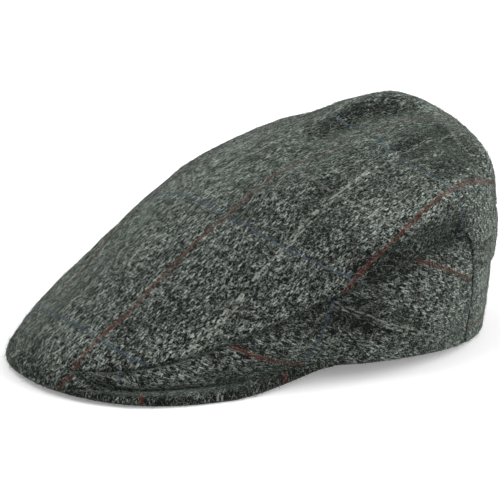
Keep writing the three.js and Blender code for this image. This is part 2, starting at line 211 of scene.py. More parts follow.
def form_points(azimuth, level):
    """The smooth form without folds, at arrays of azimuths and levels."""
    turns, sizes = [row[0] for row in SECTIONS], [sum(row[1:], ()) for row in SECTIONS]
    sides = [np.abs((azimuth + turn + 180) % 360 - 180) for turn in (0, 180)]
    here, beyond = (curve_through(turns, sizes, side).T for side in sides)
    flat = np.zeros(len(azimuth))
    radii = np.vstack([here[0::2], flat, -beyond[-2]])
    heights = np.vstack([np.maximum(here[1::2], 0), flat + CROWN_Z, beyond[-1]])
    gaps = np.hypot(np.diff(radii, axis=0), np.diff(heights, axis=0))
    step = np.clip(np.floor(level).astype(int), 0, TOP - 1)
    spots = np.arange(len(azimuth))
    placed = []
    for values in (radii, heights):
        between_knots = np.diff(values, axis=0) / gaps
        slopes = np.vstack([between_knots[:1], slopes_at(between_knots, gaps), between_knots[-1:]])
        low, high = (step, spots), (step + 1, spots)
        placed.append(hermite(values, slopes, low, high, gaps[low], level - step))
    return on_azimuth(azimuth, *placed)


def near_line(points, start, end, width):
    """How near each point is to a line, from 0 far away to 1 on it."""
    start, along = np.array(start, float), np.subtract(end, start).astype(float)
    share = np.clip((points - start) @ along / (along @ along), 0, 1)
    nearest = start + share[:, None] * along
    return np.exp(-((points - nearest) ** 2).sum(1) / width**2)


def fold_depth(points):
    """How deep all folds together push the cloth in at each point."""
    return sum(depth * near_line(points, *line) for _, *line, depth in FOLDS)


def seam_shows(azimuth):
    """From 0 at the front, where the top runs over the peak's edge, to 1 along the sides."""
    return smooth((np.abs(azimuth) - SEAM_FREE) / SEAM_FREE_FADE)


def shell_points(azimuth, level, lift=0.0):
    """The outside of the cloth. A lift moves it outwards."""
    azimuth, level = np.broadcast_arrays(np.asarray(azimuth, float), np.asarray(level, float))
    points = form_points(azimuth, level)
    outwards = points - HEART
    outwards /= np.linalg.norm(outwards, axis=1, keepdims=True)
    draw = SEAM_DRAW * seam_shows(azimuth) * np.exp(-(((level - SEAM) / SEAM_DRAW_WIDTH) ** 2))
    pushed_in = (fold_depth(points) + draw) * smooth(level / HEM_FIRM)
    return points + outwards * (lift - pushed_in)[:, None]


def shell_normals(azimuth, level):
    """Outward directions of the cloth. At the rim they lie flat, as the hem's edge does."""
    step = LEVEL_STEP
    middle = np.minimum(level, TOP - 2 * step)
    across = shell_points(azimuth + 1, middle) - shell_points(azimuth - 1, middle)
    up = shell_points(azimuth, middle + step) - shell_points(azimuth, np.maximum(middle - step, 0))
    normals = np.cross(across, up)
    normals[np.asarray(level) > TOP - step] = (0, 0, 1)
    normals[np.asarray(level) <= 0, 2] = 0
    return normals / np.linalg.norm(normals, axis=1, keepdims=True)


def length_per_level(azimuth, level):
    apart = shell_points(azimuth, level + LEVEL_STEP) - shell_points(azimuth, level)
    return np.linalg.norm(apart, axis=1) / LEVEL_STEP


def side_end(level):
    return SIDE_END_RIM + (SIDE_END_SEAM - SIDE_END_RIM) * np.minimum(level / SEAM, 1)


def lower_level(share):
    """The level where a side panel's lower edge runs, by the share of its length."""
    return TIP_LEVEL * (1 - smooth(share / TAPER))


def back_top(share):
    """The level of the back panel's top edge, by the share of its width."""
    to_middle = smooth(np.minimum(share, 1 - share) / BACK_TOP_FALL)
    return BACK_TOP_SIDE + (BACK_TOP_MIDDLE - BACK_TOP_SIDE) * to_middle


def back_turn(share, level):
    """The azimuth at a share of the way round the back, from side panel to side panel."""
    wide = side_end(level)
    return wide + share * (360 - 2 * wide)


def overhang(azimuth, level):
    degrees = np.maximum(np.abs(azimuth) - SIDE_END_SEAM, 0)
    return OVERHANG * smooth(degrees / OVERHANG_REACH) * smooth((OVERHANG_TOP - level) / OVERHANG_FADE)


def roll(distance, radius, depth):
    """How far the cloth turns in near a seam or a hem, at a distance from its edge."""
    t = 1 - np.clip(distance / radius, 0, 1)
    return depth * (1 - np.sqrt(1 - t * t))


def ripple(points, size, seed):
    """Smooth unevenness from -1 to 1 with features of the given size."""
    shift = Vector((seed * 17.3, seed * 5.1, seed * 9.7))
    return np.array([noise.noise(Vector(point) / size + shift) for point in points])


# ---- Settings that a user would change ----------------------------------------------


class FlatCapSettings(bpy.types.PropertyGroup):
    """Sizes and colours of the cap"""

    wall: bpy.props.FloatProperty(
        name="Cloth", description="Thickness of the cloth with its backing", default=0.0026, unit="LENGTH"
    )
    seam_radius: bpy.props.FloatProperty(
        name="Seam roll", description="Radius of the cloth's turn at a seam", default=0.0014, unit="LENGTH"
    )
    seam_depth: bpy.props.FloatProperty(
        name="Seam depth", description="Depth of the groove at a seam", default=0.0013, unit="LENGTH"
    )
    unevenness: bpy.props.FloatProperty(
        name="Unevenness", description="Height of the cloth's soft dimples", default=0.0005, unit="LENGTH"
    )
    warp_pitch: bpy.props.FloatProperty(
        name="Warp pitch", description="Distance between warp yarns", default=0.00108, unit="LENGTH"
    )
    weft_pitch: bpy.props.FloatProperty(
        name="Weft pitch", description="Distance between weft yarns", default=0.00145, unit="LENGTH"
    )
    dark: bpy.props.FloatVectorProperty(
        name="Dark wool", description="Darkest wool", default=(0.0075, 0.0085, 0.008), subtype="COLOR"
    )
    middle: bpy.props.FloatVectorProperty(
        name="Grey wool", description="Middle grey wool", default=(0.036, 0.041, 0.038), subtype="COLOR"
    )
    light: bpy.props.FloatVectorProperty(
        name="Light wool", description="Lightest wool", default=(0.52, 0.575, 0.505), subtype="COLOR"
    )
    cool: bpy.props.FloatVectorProperty(
        name="Cool wool", description="Light wool, cooler", default=(0.4, 0.465, 0.43), subtype="COLOR"
    )
    red: bpy.props.FloatVectorProperty(
        name="Red yarn", description="Overcheck warp yarn", default=(0.088, 0.022, 0.016), subtype="COLOR"
    )
    blue: bpy.props.FloatVectorProperty(
        name="Blue yarn", description="Overcheck weft yarn", default=(0.06, 0.088, 0.125), subtype="COLOR"
    )
    cream: bpy.props.FloatVectorProperty(
        name="Cream yarn", description="Light overcheck yarn", default=(0.33, 0.34, 0.30), subtype="COLOR"
    )
    lining: bpy.props.FloatVectorProperty(
        name="Lining", description="Plain lining", default=(0.012, 0.013, 0.015), subtype="COLOR"
    )
    fibre_count: bpy.props.IntProperty(
        name="Fibres", description="Loose fibres that stand on the cloth", default=8500, min=1
    )
    fibre_length: bpy.props.FloatProperty(
        name="Fibre length", description="Length of a middling fibre", default=0.0048, unit="LENGTH"
    )
    camera_azimuth: bpy.props.FloatProperty(
        name="Camera azimuth", description="From front to left", default=math.radians(56.0), subtype="ANGLE"
    )
    camera_elevation: bpy.props.FloatProperty(
        name="Camera elevation", description="Above the floor", default=math.radians(15.5), subtype="ANGLE"
    )
    camera_distance: bpy.props.FloatProperty(
        name="Camera distance", description="From the aim point", default=1.2, unit="LENGTH"
    )
    light_level: bpy.props.FloatProperty(
        name="Light", description="Brightness of all the lights", default=1.0, min=0
    )


def settings():
    return bpy.context.scene.flat_cap


# ---- Materials -------------------------------------------------------------------------


class Tree:
    """Adds nodes to a node tree and joins them."""

    def __init__(self, tree):
        self.nodes = tree.nodes
        self.links = tree.links

    def node(self, kind, inputs=None, **options):
        made = self.nodes.new(kind)
        for name, value in options.items():
            setattr(made, name, value)
        for name, value in (inputs or {}).items():
            self.put(made.inputs[name], value)
        return made

    def put(self, socket, value):
        if isinstance(value, bpy.types.NodeSocket):
            self.links.new(value, socket)
        elif socket.type == "RGBA":
            socket.default_value = (*value[:3], 1.0)
        else:
            socket.default_value = value

    def math(self, operation, *values):
        return self.node("ShaderNodeMath", dict(enumerate(values)), operation=operation).outputs[0]

    def times(self, product, *values):
        for value in values:
            product = self.math("MULTIPLY", product, value)
        return product

    def vector(self, operation, first, second):
        made = self.node("ShaderNodeVectorMath", {0: first}, operation=operation)
        self.put(made.inputs["Scale" if operation == "SCALE" else 1], second)
        return made.outputs[0]

    def mix(self, factor, low, high):
        made = self.node("ShaderNodeMix", data_type="RGBA", clamp_factor=True)
        sockets = {socket.identifier: socket for socket in (*made.inputs, *made.outputs)}
        for name, value in (("Factor_Float", factor), ("A_Color", low), ("B_Color", high)):
            self.put(sockets[name], value)
        return sockets["Result_Color"]

    def blend(self, factor, low, high):
        inputs = {0: factor, 2: low, 3: high}
        return self.node("ShaderNodeMix", inputs, data_type="FLOAT", clamp_factor=True).outputs[0]

    def noise(self, vector, scale, detail, roughness=0.5, distortion=0.0, output="Fac"):
        inputs = {
            "Vector": vector,
            "Scale": scale,
            "Detail": detail,
            "Roughness": roughness,
            "Distortion": distortion,
        }
        return self.node("ShaderNodeTexNoise", inputs).outputs[output]

    def shake(self, vector, scale, reach):
        """An offset that wanders smoothly by up to half the reach."""
        offset = self.noise(vector, scale, 1.0, output="Color")
        return self.vector("SCALE", self.vector("SUBTRACT", offset, (0.5, 0.5, 0.5)), reach)

    def random(self, *parts):
        """A number from 0 to 1 for each whole-number place."""
        spot = self.node("ShaderNodeCombineXYZ", dict(enumerate(parts))).outputs[0]
        return self.node("ShaderNodeTexWhiteNoise", {"Vector": spot}, noise_dimensions="3D").outputs["Value"]

    def ramp(self, value, low, high, to_low=0.0, to_high=1.0):
        names = {"Value": value, "From Min": low, "From Max": high, "To Min": to_low, "To Max": to_high}
        return self.node("ShaderNodeMapRange", names, clamp=True).outputs[0]

    def group(self, group, inputs):
        made = self.node("ShaderNodeGroup", node_tree=group)
        for name, value in inputs.items():
            self.put(made.inputs[name], value)
        return made.outputs

    def attribute(self, name):
        return self.node("ShaderNodeAttribute", attribute_name=name).outputs["Fac"]


def new_group(name, inputs):
    """A node group, its tree and its inputs, which are given by name and kind."""
    group = bpy.data.node_groups.new(name, "ShaderNodeTree")
    for socket, kind in inputs.items():
        group.interface.new_socket(socket, in_out="INPUT", socket_type="NodeSocket" + kind)
    tree = Tree(group)
    return group, tree, tree.node("NodeGroupInput").outputs


def give_out(group, tree, values):
    """Gives the group an output for each named mask or value."""
    for name in values:
        group.interface.new_socket(name, in_out="OUTPUT", socket_type="NodeSocketFloat")
    tree.node("NodeGroupOutput", values)
    return group


RED_REPEAT = 70  # warp yarns from one red line to the next
BLUE_REPEAT = 57  # weft yarns from one blue line to the next
RED_TWIST = 0.55  # turns of the red yarn's plies for each weft yarn
RED_WIDTH = 2.35  # the red yarn is thicker than the others, counted in them
DARK_BAND = (1.5, 3.0, 6.0, 11.0)  # yarns from the cream lines where it rises and falls
YARN_EDGE = 0.42  # how far the rounding reaches in from a yarn's edge
PLIES = (0.0, 0.22, 0.45, 1.0)  # how the red yarn narrows between its plies
WARP_ARCH = (0.6, 0.4)  # how much of a warp yarn's height is its arch over the weft
WEFT_HEIGHT = 0.8
CREAM_GAPS = (0.1, 0.6)  # chance values up to which a cream float is missing, and whole
WANDER = (330.0, 0.0011)  # how yarns stray from their lines: waves in a metre, and reach
DRIFT = (22.0, 0.005)  # how whole lines stray, in the same way


def weave_group():
    """Broken twill in woollen yarns: which yarn lies on top, its relief and its chance values."""
    inputs = {"Cloth": "Vector", "Warp pitch": "Float", "Weft pitch": "Float"}
    group, tree, ins = new_group("Tweed weave", inputs)
    cloth = ins["Cloth"]
    strays = tree.vector("ADD", tree.shake(cloth, *WANDER), tree.shake(cloth, *DRIFT))
    split = tree.node("ShaderNodeSeparateXYZ", {0: tree.vector("ADD", cloth, strays)}).outputs
    across = tree.math("DIVIDE", split[0], ins["Warp pitch"])
    along = tree.math("DIVIDE", split[1], ins["Weft pitch"])
    warp, weft = tree.math("FLOOR", across), tree.math("FLOOR", along)
    in_warp, in_weft = tree.math("FRACT", across), tree.math("FRACT", along)

    # a twill over two and under two, with every second pair of warp yarns swapped
    four = tree.math("FLOORED_MODULO", warp, 4.0)
    swap = tree.times(tree.math("GREATER_THAN", four, 1.5), tree.math("MULTIPLY_ADD", four, -2.0, 5.0))
    shifted = tree.math("ADD", weft, tree.math("ADD", four, swap))
    turn = tree.math("FLOORED_MODULO", shifted, 4.0)
    round_no = tree.math("FLOOR", tree.math("DIVIDE", shifted, 4.0))

    def is_yarn(number, repeat, wanted):
        left = tree.math("FLOORED_MODULO", tree.math("SUBTRACT", number, float(wanted)), float(repeat))
        return tree.math("LESS_THAN", left, 0.5)

    def from_warp_yarn(wanted):
        """How many yarns away the nearest warp yarn of a number is."""
        moved = tree.math("ADD", across, float(RED_REPEAT // 2 - wanted))
        moved = tree.math("FLOORED_MODULO", moved, float(RED_REPEAT))
        return tree.math("ABSOLUTE", tree.math("SUBTRACT", moved, RED_REPEAT // 2 + 0.5))

    half = RED_REPEAT // 2
    twist = tree.math("MULTIPLY_ADD", along, RED_TWIST, tree.times(across, 0.5))
    ply = tree.ramp(tree.math("PINGPONG", twist, 0.5), *PLIES)
    red = tree.math("LESS_THAN", from_warp_yarn(0), tree.times(ply, RED_WIDTH / 2))
    cream = tree.math("ADD", *(is_yarn(warp, RED_REPEAT, half + side) for side in (-1, 1)))
    blue, pale = (is_yarn(weft, BLUE_REPEAT, yarn) for yarn in (0, BLUE_REPEAT // 2))
    reach = tree.math("ADD", 2.0, tree.math("SUBTRACT", tree.math("ADD", red, cream), blue))
    on_top = tree.math("LESS_THAN", turn, tree.math("SUBTRACT", reach, 0.5))
    under = tree.math("SUBTRACT", 1.0, on_top)

    lengthwise = tree.math("DIVIDE", tree.math("ADD", turn, in_weft), 2.0)
    arch = tree.math("SINE", tree.times(tree.math("MINIMUM", lengthwise, 1.0), math.pi))
    ridges = [tree.ramp(tree.math("PINGPONG", spot, 0.5), 0.0, YARN_EDGE) for spot in (in_warp, in_weft)]
    warp_relief = tree.times(ridges[0], tree.math("MULTIPLY_ADD", arch, *WARP_ARCH))
    weft_relief = tree.times(ridges[1], WEFT_HEIGHT)
    warp_chance = tree.random(warp, round_no, 1.0)
    weft_chance = tree.random(tree.math("FLOOR", tree.math("DIVIDE", across, 2.0)), weft, 2.0)
    from_cream = from_warp_yarn(half)
    rise, full, fall, end = DARK_BAND
    return give_out(group, tree, {
        "Warp on top": on_top,
        "Relief": tree.blend(on_top, weft_relief, warp_relief),
        "Float chance": tree.blend(on_top, weft_chance, warp_chance),
        "Red": tree.times(red, tree.math("MULTIPLY_ADD", on_top, 0.5, 0.5)),
        "Blue": tree.times(blue, under),
        "Cream": tree.times(cream, on_top, tree.ramp(warp_chance, *CREAM_GAPS)),
        "Pale weft": tree.times(pale, under),
        "Dark band": tree.times(tree.ramp(from_cream, rise, full), tree.ramp(from_cream, end, fall)),
    })


# Layers of wool on the cloth. Flecks are short thick strands and hairs are thin lines: each
# row has the angle to the warp, how many lie side by side in a metre, and how much longer
# than wide they are. A fleck shows between two levels of its noise. A hair shows within a
# width, and is broken so many times in a metre.
FLECKS = (
    {"angle": 0.1, "count": 840.0, "long": 2.4, "low": 0.5, "high": 0.68},
    {"angle": -0.3, "count": 940.0, "long": 2.6, "low": 0.51, "high": 0.68},
    {"angle": 0.45, "count": 1050.0, "long": 2.8, "low": 0.52, "high": 0.68},
)
HAIRS = (
    {"angle": 0.3, "count": 620.0, "long": 3.2, "width": 0.03, "breaks": 330.0},
    {"angle": -0.5, "count": 560.0, "long": 2.8, "width": 0.03, "breaks": 300.0},
    {"angle": 1.2, "count": 480.0, "long": 2.2, "width": 0.025, "breaks": 240.0},
)
STRAY_HAIRS = (
    {"angle": 0.9, "count": 150.0, "long": 2.0, "width": 0.011, "breaks": 95.0},
    {"angle": -0.4, "count": 190.0, "long": 1.6, "width": 0.012, "breaks": 95.0},
)
HAIR_BREAKS = (0.38, 0.62)  # levels of noise where a hair has sunk in, and where it is whole
CLOUDS = (260.0, 3.0, 0.6)  # waves in a metre, detail and roughness
PATCHES = (38.0, 3.0, 0.55)
HUES = (480.0, 2.0, 0.6)


def heather_group():
    """Wool of several greys: thick flecks, tangled hairs, stray hairs and clouds."""
    group, tree, ins = new_group("Heather wool", {"Cloth": "Vector"})
    cloth = ins["Cloth"]

    def drawn_out(row, number, seed, distortion):
        """Noise that is stretched at an angle to the warp."""
        inputs = {"Vector": cloth, "Angle": row["angle"]}
        turned_to = tree.node("ShaderNodeVectorRotate", inputs, rotation_type="Z_AXIS").outputs[0]
        stretched = tree.vector("MULTIPLY", turned_to, (row["count"], row["count"] / row["long"], 1.0))
        moved = tree.vector("ADD", stretched, (seed + 37.0 * number, 19.0 * number, seed))
        return tree.noise(moved, 1.0, 1.0, 0.5, distortion)

    def strongest(masks):
        found = masks[0]
        for mask in masks[1:]:
            found = tree.math("MAXIMUM", found, mask)
        return found

    def hairs(rows, seed):
        masks = []
        for number, row in enumerate(rows):
            wave = drawn_out(row, number, seed, 0.5)
            line = tree.ramp(tree.math("ABSOLUTE", tree.math("SUBTRACT", wave, 0.5)), row["width"], 0.0)
            there = tree.noise(tree.vector("ADD", cloth, (seed, number * 2.3, 0.0)), row["breaks"], 1.0)
            masks.append(tree.times(line, tree.ramp(there, *HAIR_BREAKS)))
        return strongest(masks)

    flecks = [tree.ramp(drawn_out(row, k, 5.0, 0.3), row["low"], row["high"]) for k, row in enumerate(FLECKS)]
    return give_out(group, tree, {
        "Flecks": strongest(flecks),
        "Hairs": hairs(HAIRS, 17.0),
        "Stray hairs": hairs(STRAY_HAIRS, 31.0),
        "Clouds": tree.noise(cloth, *CLOUDS),
        "Patches": tree.noise(cloth, *PATCHES),
        "Hue": tree.noise(tree.vector("ADD", cloth, (4.0, 9.0, 0.0)), *HUES),
    })


def new_material(name, values):
    """A new material's tree and its shader's inputs, some of them with plain values."""
    material = bpy.data.materials.new(name)
    material.use_nodes = True
    tree = Tree(material.node_tree)
    inputs = material.node_tree.nodes["Principled BSDF"].inputs
    for socket, value in values.items():
        tree.put(inputs[socket], value)
    return tree, inputs


# What the wool adds to the cloth's lightness, and the range of it from dark to light wool.
FLECK_LIGHT = 0.46
YARN_LIGHT = 0.64
HAIR_LIGHT = 0.42
LIGHT_RANGE = (0.215, 0.86)
BAND_DARKENS = -0.6
WARP_POWER = 1.2  # how rare the light floats are, for warp yarns
WEFT_POWER = 2.5
WEFT_SHARE = 0.5
# How masks change the light: two levels of the mask, and the share of light at each.
RAMPS = {
    "yarn": (0.05, 0.7, 0.1, 1.0),
    "fleck": (0.0, 0.5, 0.45, 1.0),
    "Clouds": (0.32, 0.66, 0.55, 1.35),
    "Patches": (0.3, 0.7, 0.75, 1.25),
    # painted shade where the mask is above zero, painted light where it is below
    "Painted shade": (-0.8, 0.8, 1.5, 0.4),
    "Hue": (0.35, 0.65),
    "worn": (0.36, 0.56),
}
HEIGHTS = (("Flecks", 0.9), ("Hairs", 0.3), ("Clouds", 1.2))
RELIEF_HEIGHT = 0.6
BRIGHT_RED = 1.5  # the red yarn's brightest wool against its darkest
SEAM_SHADOW_DARK = 0.6  # the colour of the painted shadow deep in a seam, against the dark wool
STRAY_COVER = 0.5  # how much of the cloth's colour a stray hair takes
SEAM_SHADOW_COVER = 0.92  # and a seam's painted shadow
# The overcheck's lines in the order in which they are laid, with their strength and how
# much of it the worn patches veil.
LINES = (("Pale weft", 0.65, 0.9), ("Cream", 0.85, 0.65), ("Blue", 0.9, 0.3), ("Red", 0.95, 0.3))
BUMP = {"Strength": 0.9, "Distance": 0.0005}
WOOL_SHADER = {
    "Roughness": 0.95,
    "Specular IOR Level": 0.1,
    "Sheen Weight": 0.26,
    "Sheen Roughness": 0.3,
    "Sheen Tint": (0.68, 0.92, 0.74),
}
LINING_SHADER = {"Roughness": 0.55, "Sheen Weight": 0.1}
LINING_THREADS = 900.0
LINING_PALER = 1.9  # its pale threads against its dark ones
LINING_BUMP = {"Strength": 0.25, "Distance": 0.0002}
FIBRE_SHADER = {"Roughness": 0.8, "Specular IOR Level": 0.2}
FIBRE_SHADES = 700.0
FIBRE_RAMP = (0.42, 0.64)
FIBRE_CLOUDS = (0.36, 0.6, 0.2, 1.0)
FIBRE_DEEP = 0.45  # the darkest fibres against the grey wool


def tweed_material(name):
    sizes = settings()
    tree, shader = new_material(name, WOOL_SHADER)
    cloth = tree.node("ShaderNodeUVMap", uv_map="Cloth").outputs[0]
    pitches = {"Warp pitch": sizes.warp_pitch, "Weft pitch": sizes.weft_pitch}
    woven = tree.group(weave_group(), {"Cloth": cloth, **pitches})
    wool = tree.group(heather_group(), {"Cloth": cloth})
    chance, relief = woven["Float chance"], woven["Relief"]

    weft = tree.times(tree.math("POWER", chance, WEFT_POWER), WEFT_SHARE)
    yarn = tree.blend(woven["Warp on top"], weft, tree.math("POWER", chance, WARP_POWER))
    yarn = tree.times(yarn, tree.ramp(relief, *RAMPS["yarn"]))
    yarn = tree.times(yarn, tree.math("MULTIPLY_ADD", woven["Dark band"], BAND_DARKENS, 1.0))
    flecks = tree.times(wool["Flecks"], tree.ramp(relief, *RAMPS["fleck"]))
    light = tree.math("MULTIPLY_ADD", flecks, FLECK_LIGHT, tree.times(yarn, YARN_LIGHT))
    light = tree.math("MULTIPLY_ADD", wool["Hairs"], HAIR_LIGHT, light)
    # clouds and patches vary the wool at random; the last factor is painted shade and painted light from the
    # folds and the listed lines
    light = tree.times(
        light,
        tree.ramp(wool["Clouds"], *RAMPS["Clouds"]),
        tree.ramp(wool["Patches"], *RAMPS["Patches"]),
        tree.ramp(tree.attribute("Painted shade"), *RAMPS["Painted shade"]),
    )
    pale_wool = tree.mix(tree.ramp(wool["Hue"], *RAMPS["Hue"]), sizes.light, sizes.cool)
    colour = tree.mix(tree.ramp(light, *LIGHT_RANGE), sizes.dark, pale_wool)

    bright_red = [BRIGHT_RED * part for part in sizes.red]
    red_wool = tree.mix(tree.math("POWER", chance, 2.0), sizes.red, bright_red)
    yarns = {"Pale weft": sizes.cream, "Cream": sizes.cream, "Blue": sizes.blue, "Red": red_wool}
    worn = tree.ramp(wool["Clouds"], *RAMPS["worn"])
    for line, strength, veil in LINES:
        unveiled = tree.math("MULTIPLY_ADD", worn, veil, 1.0 - veil)
        shows = tree.times(unveiled, tree.times(woven[line], strength))
        colour = tree.mix(shows, colour, yarns[line])
    colour = tree.mix(tree.times(wool["Stray hairs"], STRAY_COVER), colour, sizes.cream)
    # painted shadow in the seams, darkest in their middle
    seam_shadow_dark = [SEAM_SHADOW_DARK * part for part in sizes.dark]
    colour = tree.mix(tree.times(tree.attribute("Seam shadow"), SEAM_SHADOW_COVER), colour, seam_shadow_dark)
    tree.put(shader["Base Color"], colour)

    height = tree.times(relief, RELIEF_HEIGHT)
    for layer, share in HEIGHTS:
        height = tree.math("MULTIPLY_ADD", wool[layer], share, height)
    tree.put(shader["Normal"], tree.node("ShaderNodeBump", {"Height": height, **BUMP}).outputs[0])


def lining_material(name):
    tree, shader = new_material(name, LINING_SHADER)
    threads = tree.noise(tree.node("ShaderNodeUVMap", uv_map="Cloth").outputs[0], LINING_THREADS, 1.0)
    plain = settings().lining
    tree.put(shader["Base Color"], tree.mix(threads, plain, [LINING_PALER * part for part in plain]))
    bump = tree.node("ShaderNodeBump", {"Height": threads, **LINING_BUMP})
    tree.put(shader["Normal"], bump.outputs[0])


def fibre_material(name):
    tree, shader = new_material(name, FIBRE_SHADER)
    place_on = tree.node("ShaderNodeTexCoord").outputs["Object"]
    shade = tree.ramp(tree.noise(place_on, FIBRE_SHADES, 1.0), *FIBRE_RAMP)
    shade = tree.times(shade, tree.ramp(tree.noise(place_on, *CLOUDS), *FIBRE_CLOUDS))
    deep = [FIBRE_DEEP * part for part in settings().middle]
    tree.put(shader["Base Color"], tree.mix(shade, deep, settings().light))


TWEED, LINING, FIBRES = "Tweed", "Plain lining", "Loose wool fibres"
MATERIALS = {TWEED: tweed_material, LINING: lining_material, FIBRES: fibre_material}


def material_named(name):
    """The cap's materials, each made once."""
    if name not in bpy.data.materials:
        MATERIALS[name](name)
    return bpy.data.materials[name]


# ---- Sheets of cloth --------------------------------------------------------------------

WELD = 1e-6  # vertices this close together are one, in metres
WALL_HALF = 1.3
EVEN = 0.3  # how much of a row's spacing stays even where its ends are bunched
BUNCHING = 1.7
DIMPLES_FADE = 0.6  # level below which the dimples fade out
DIMPLES = ((26.0, 0.75), (9.0, 0.45), (4.5, 0.5))  # their size, and their share of the height
SEAM_SHADOWS = {  # how far a seam's painted shadow reaches, and how dark it is
    "seam": (1.7, 0.85),
    "tight": (1.5, 1.0),
    "crease": (2.2, 1.0),
    "fold": (1.8, 0.9),
}
PUCKER = {"size": 7.0, "reach": 0.4, "depth": 0.3, "height": 0.25, "at": 3.5, "spread": 6.0}


def numbers(items, key, width, kind=float):
    values = np.empty(len(items) * width, kind)
    items.foreach_get(key, values)
    return values.reshape(-1, width) if width > 1 else values


def mesh_of(bm, name):
    mesh = bpy.data.meshes.new(name)
    bm.to_mesh(mesh)
    bm.free()
    return mesh


def add_object(name, data):
    made = bpy.data.objects.new(name, data)
    bpy.context.scene.collection.objects.link(made)
    return made


def graded(count, ends):
    """Shares from 0 to 1, closer together at the ends that are named."""
    even = np.linspace(0, 1, count + 1)
    if ends == "both":
        return EVEN * even + (1 - EVEN) / 2 * (1 - np.cos(np.pi * even))
    bunched = 1 - (1 - even) ** BUNCHING
    return 1 - bunched[::-1] if ends == "low" else bunched


def grid_mesh(columns, rows):
    """A flat grid, with the column and row number of each vertex."""
    bm = bmesh.new()
    bmesh.ops.create_grid(bm, x_segments=columns, y_segments=rows, size=0.5)
    spots = np.array([vert.co[:2] for vert in bm.verts]) + 0.5
    spots = np.rint(spots * (columns, rows)).astype(int)
    return bm, spots[:, 0], spots[:, 1]


def place(verts, points):
    """Moves each vertex to its point, given in millimetres from the head opening's axis."""
    for vert, point in zip(verts, (np.asarray(points) + (0, AXIS_Y, 0)) / 1000):
        vert.co = point


def set_cloth_map(bm, across, along, faces=None):
    """Lays cloth on the faces: its two coordinates in metres for each vertex."""
    layer = bm.loops.layers.uv.verify()
    bm.verts.index_update()
    for face in bm.faces if faces is None else faces:
        for loop in face.loops:
            loop[layer].uv = (across[loop.vert.index], along[loop.vert.index])


def close_wall(bm, points):
    """Adds the inner side of the cloth and joins it to the outer side round the edge."""
    outer_verts = bm.verts[:]
    outer_edges = [edge for edge in bm.edges if edge.is_boundary]
    made = bmesh.ops.duplicate(bm, geom=[*bm.verts, *bm.edges, *bm.faces])
    place([made["vert_map"][vert] for vert in outer_verts], points)
    inner_faces = [item for item in made["geom"] if isinstance(item, bmesh.types.BMFace)]
    bmesh.ops.reverse_faces(bm, faces=inner_faces)
    for face in inner_faces:
        face.material_index = 1
    inner_edges = [item for item in made["geom"] if isinstance(item, bmesh.types.BMEdge) and item.is_boundary]
    bridged = set(bmesh.ops.bridge_loops(bm, edges=[*outer_edges, *inner_edges])["faces"])
    layer = bm.loops.layers.uv.verify()
    known = {}
    for face in bm.faces:
        if face not in bridged:
            for loop in face.loops:
                known.setdefault(loop.vert, loop[layer].uv.copy())
    for face in bridged:
        for loop in face.loops:
            loop[layer].uv = known[loop.vert]


def finish_piece(bm, name, node, materials):
    mesh = mesh_of(bm, name)
    mesh.uv_layers[0].name = "Cloth"
    mesh.polygons.foreach_set("use_smooth", [True] * len(mesh.polygons))
    for material in materials:
        mesh.materials.append(material_named(material))
    piece = add_object(name, mesh)
    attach(piece, "root")
    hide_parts(node)


def outer_points(azimuth, level, lift, edges, seed):
    """The finished outside: shell, dimples, and cloth turned in along its edges, and the painted shadow along
    the seams at each point, from 0 to 1.

    Each edge is a distance for every point and the kind of edge."""
    sizes = settings()
    points = shell_points(azimuth, level, lift)
    dimples = sum(share * ripple(points, size, k + 1) for k, (size, share) in enumerate(DIMPLES))
    height = dimples * sizes.unevenness * 1000 * smooth(level / DIMPLES_FADE)
    uneven = ripple(points, PUCKER["size"], seed)
    # painted shadow along the seams, by which the material darkens the cloth
    groove = np.zeros(len(points))
    for distance, kind in edges:
        if kind == "hem":
            height = height - roll(distance, WALL_HALF, WALL_HALF)
            continue
        reach, share = SEAM_SHADOWS[kind]
        reach = reach * (1 + PUCKER["reach"] * uneven)
        groove = np.maximum(groove, share * np.exp(-((distance / reach) ** 2)))
        depth = sizes.seam_depth * 1000 * (1 + PUCKER["depth"] * uneven)
        height = height - roll(distance, sizes.seam_radius * 1000, depth)
        beside = np.exp(-((distance - PUCKER["at"]) ** 2) / PUCKER["spread"])
        height = height + PUCKER["height"] * uneven * beside
    return points + shell_normals(azimuth, level) * height[:, None], groove


def inner_points(azimuth, level, lift, hem_distance=None):
    depth = np.full(len(azimuth), settings().wall * 1000)
    if hem_distance is not None:
        depth = depth - roll(hem_distance, WALL_HALF, WALL_HALF)
    return shell_points(azimuth, level, lift) - shell_normals(azimuth, level) * depth[:, None]


def set_shades(bm, groove):
    """Keeps the painted shadow of the seams and the painted shade and light of the folds and the listed lines
    at each vertex, for the material.
    """
    points = np.array([vert.co[:] for vert in bm.verts]) * 1000 - (0, AXIS_Y, 0)
    # the folds' depth and the listed lines become painted shade (above zero) and painted light (below zero)
    hollow = fold_depth(points) / FOLD_SHADE_DEPTH
    hollow = hollow + sum(amount * near_line(points, *line) for *line, amount in PAINTED_SHADES)
    for name, values in (("Seam shadow", groove), ("Painted shade", np.clip(hollow, -1, 1))):
        layer = bm.verts.layers.float.new(name)
        for vert, value in zip(bm.verts, values):
            vert[layer] = value


def arc_lengths(grid):
    """Lengths along the rows and up the columns of a grid of points, columns first."""
    along, up = np.zeros(grid.shape[:2]), np.zeros(grid.shape[:2])
    along[1:] = np.cumsum(np.linalg.norm(np.diff(grid, axis=0), axis=2), axis=0)
    up[:, 1:] = np.cumsum(np.linalg.norm(np.diff(grid, axis=1), axis=2), axis=1)
    return along, up


def turned(across, along, cloth):
    """Turns flat cloth and moves it, so that its lines fall where they are wanted."""
    a = math.radians(cloth["turn"])
    x = across * math.cos(a) + along * math.sin(a) + cloth["shift"][0]
    y = -across * math.sin(a) + along * math.cos(a) + cloth["shift"][1]
    return x / 1000, y / 1000


# ---- Top panel ---------------------------------------------------------------------------

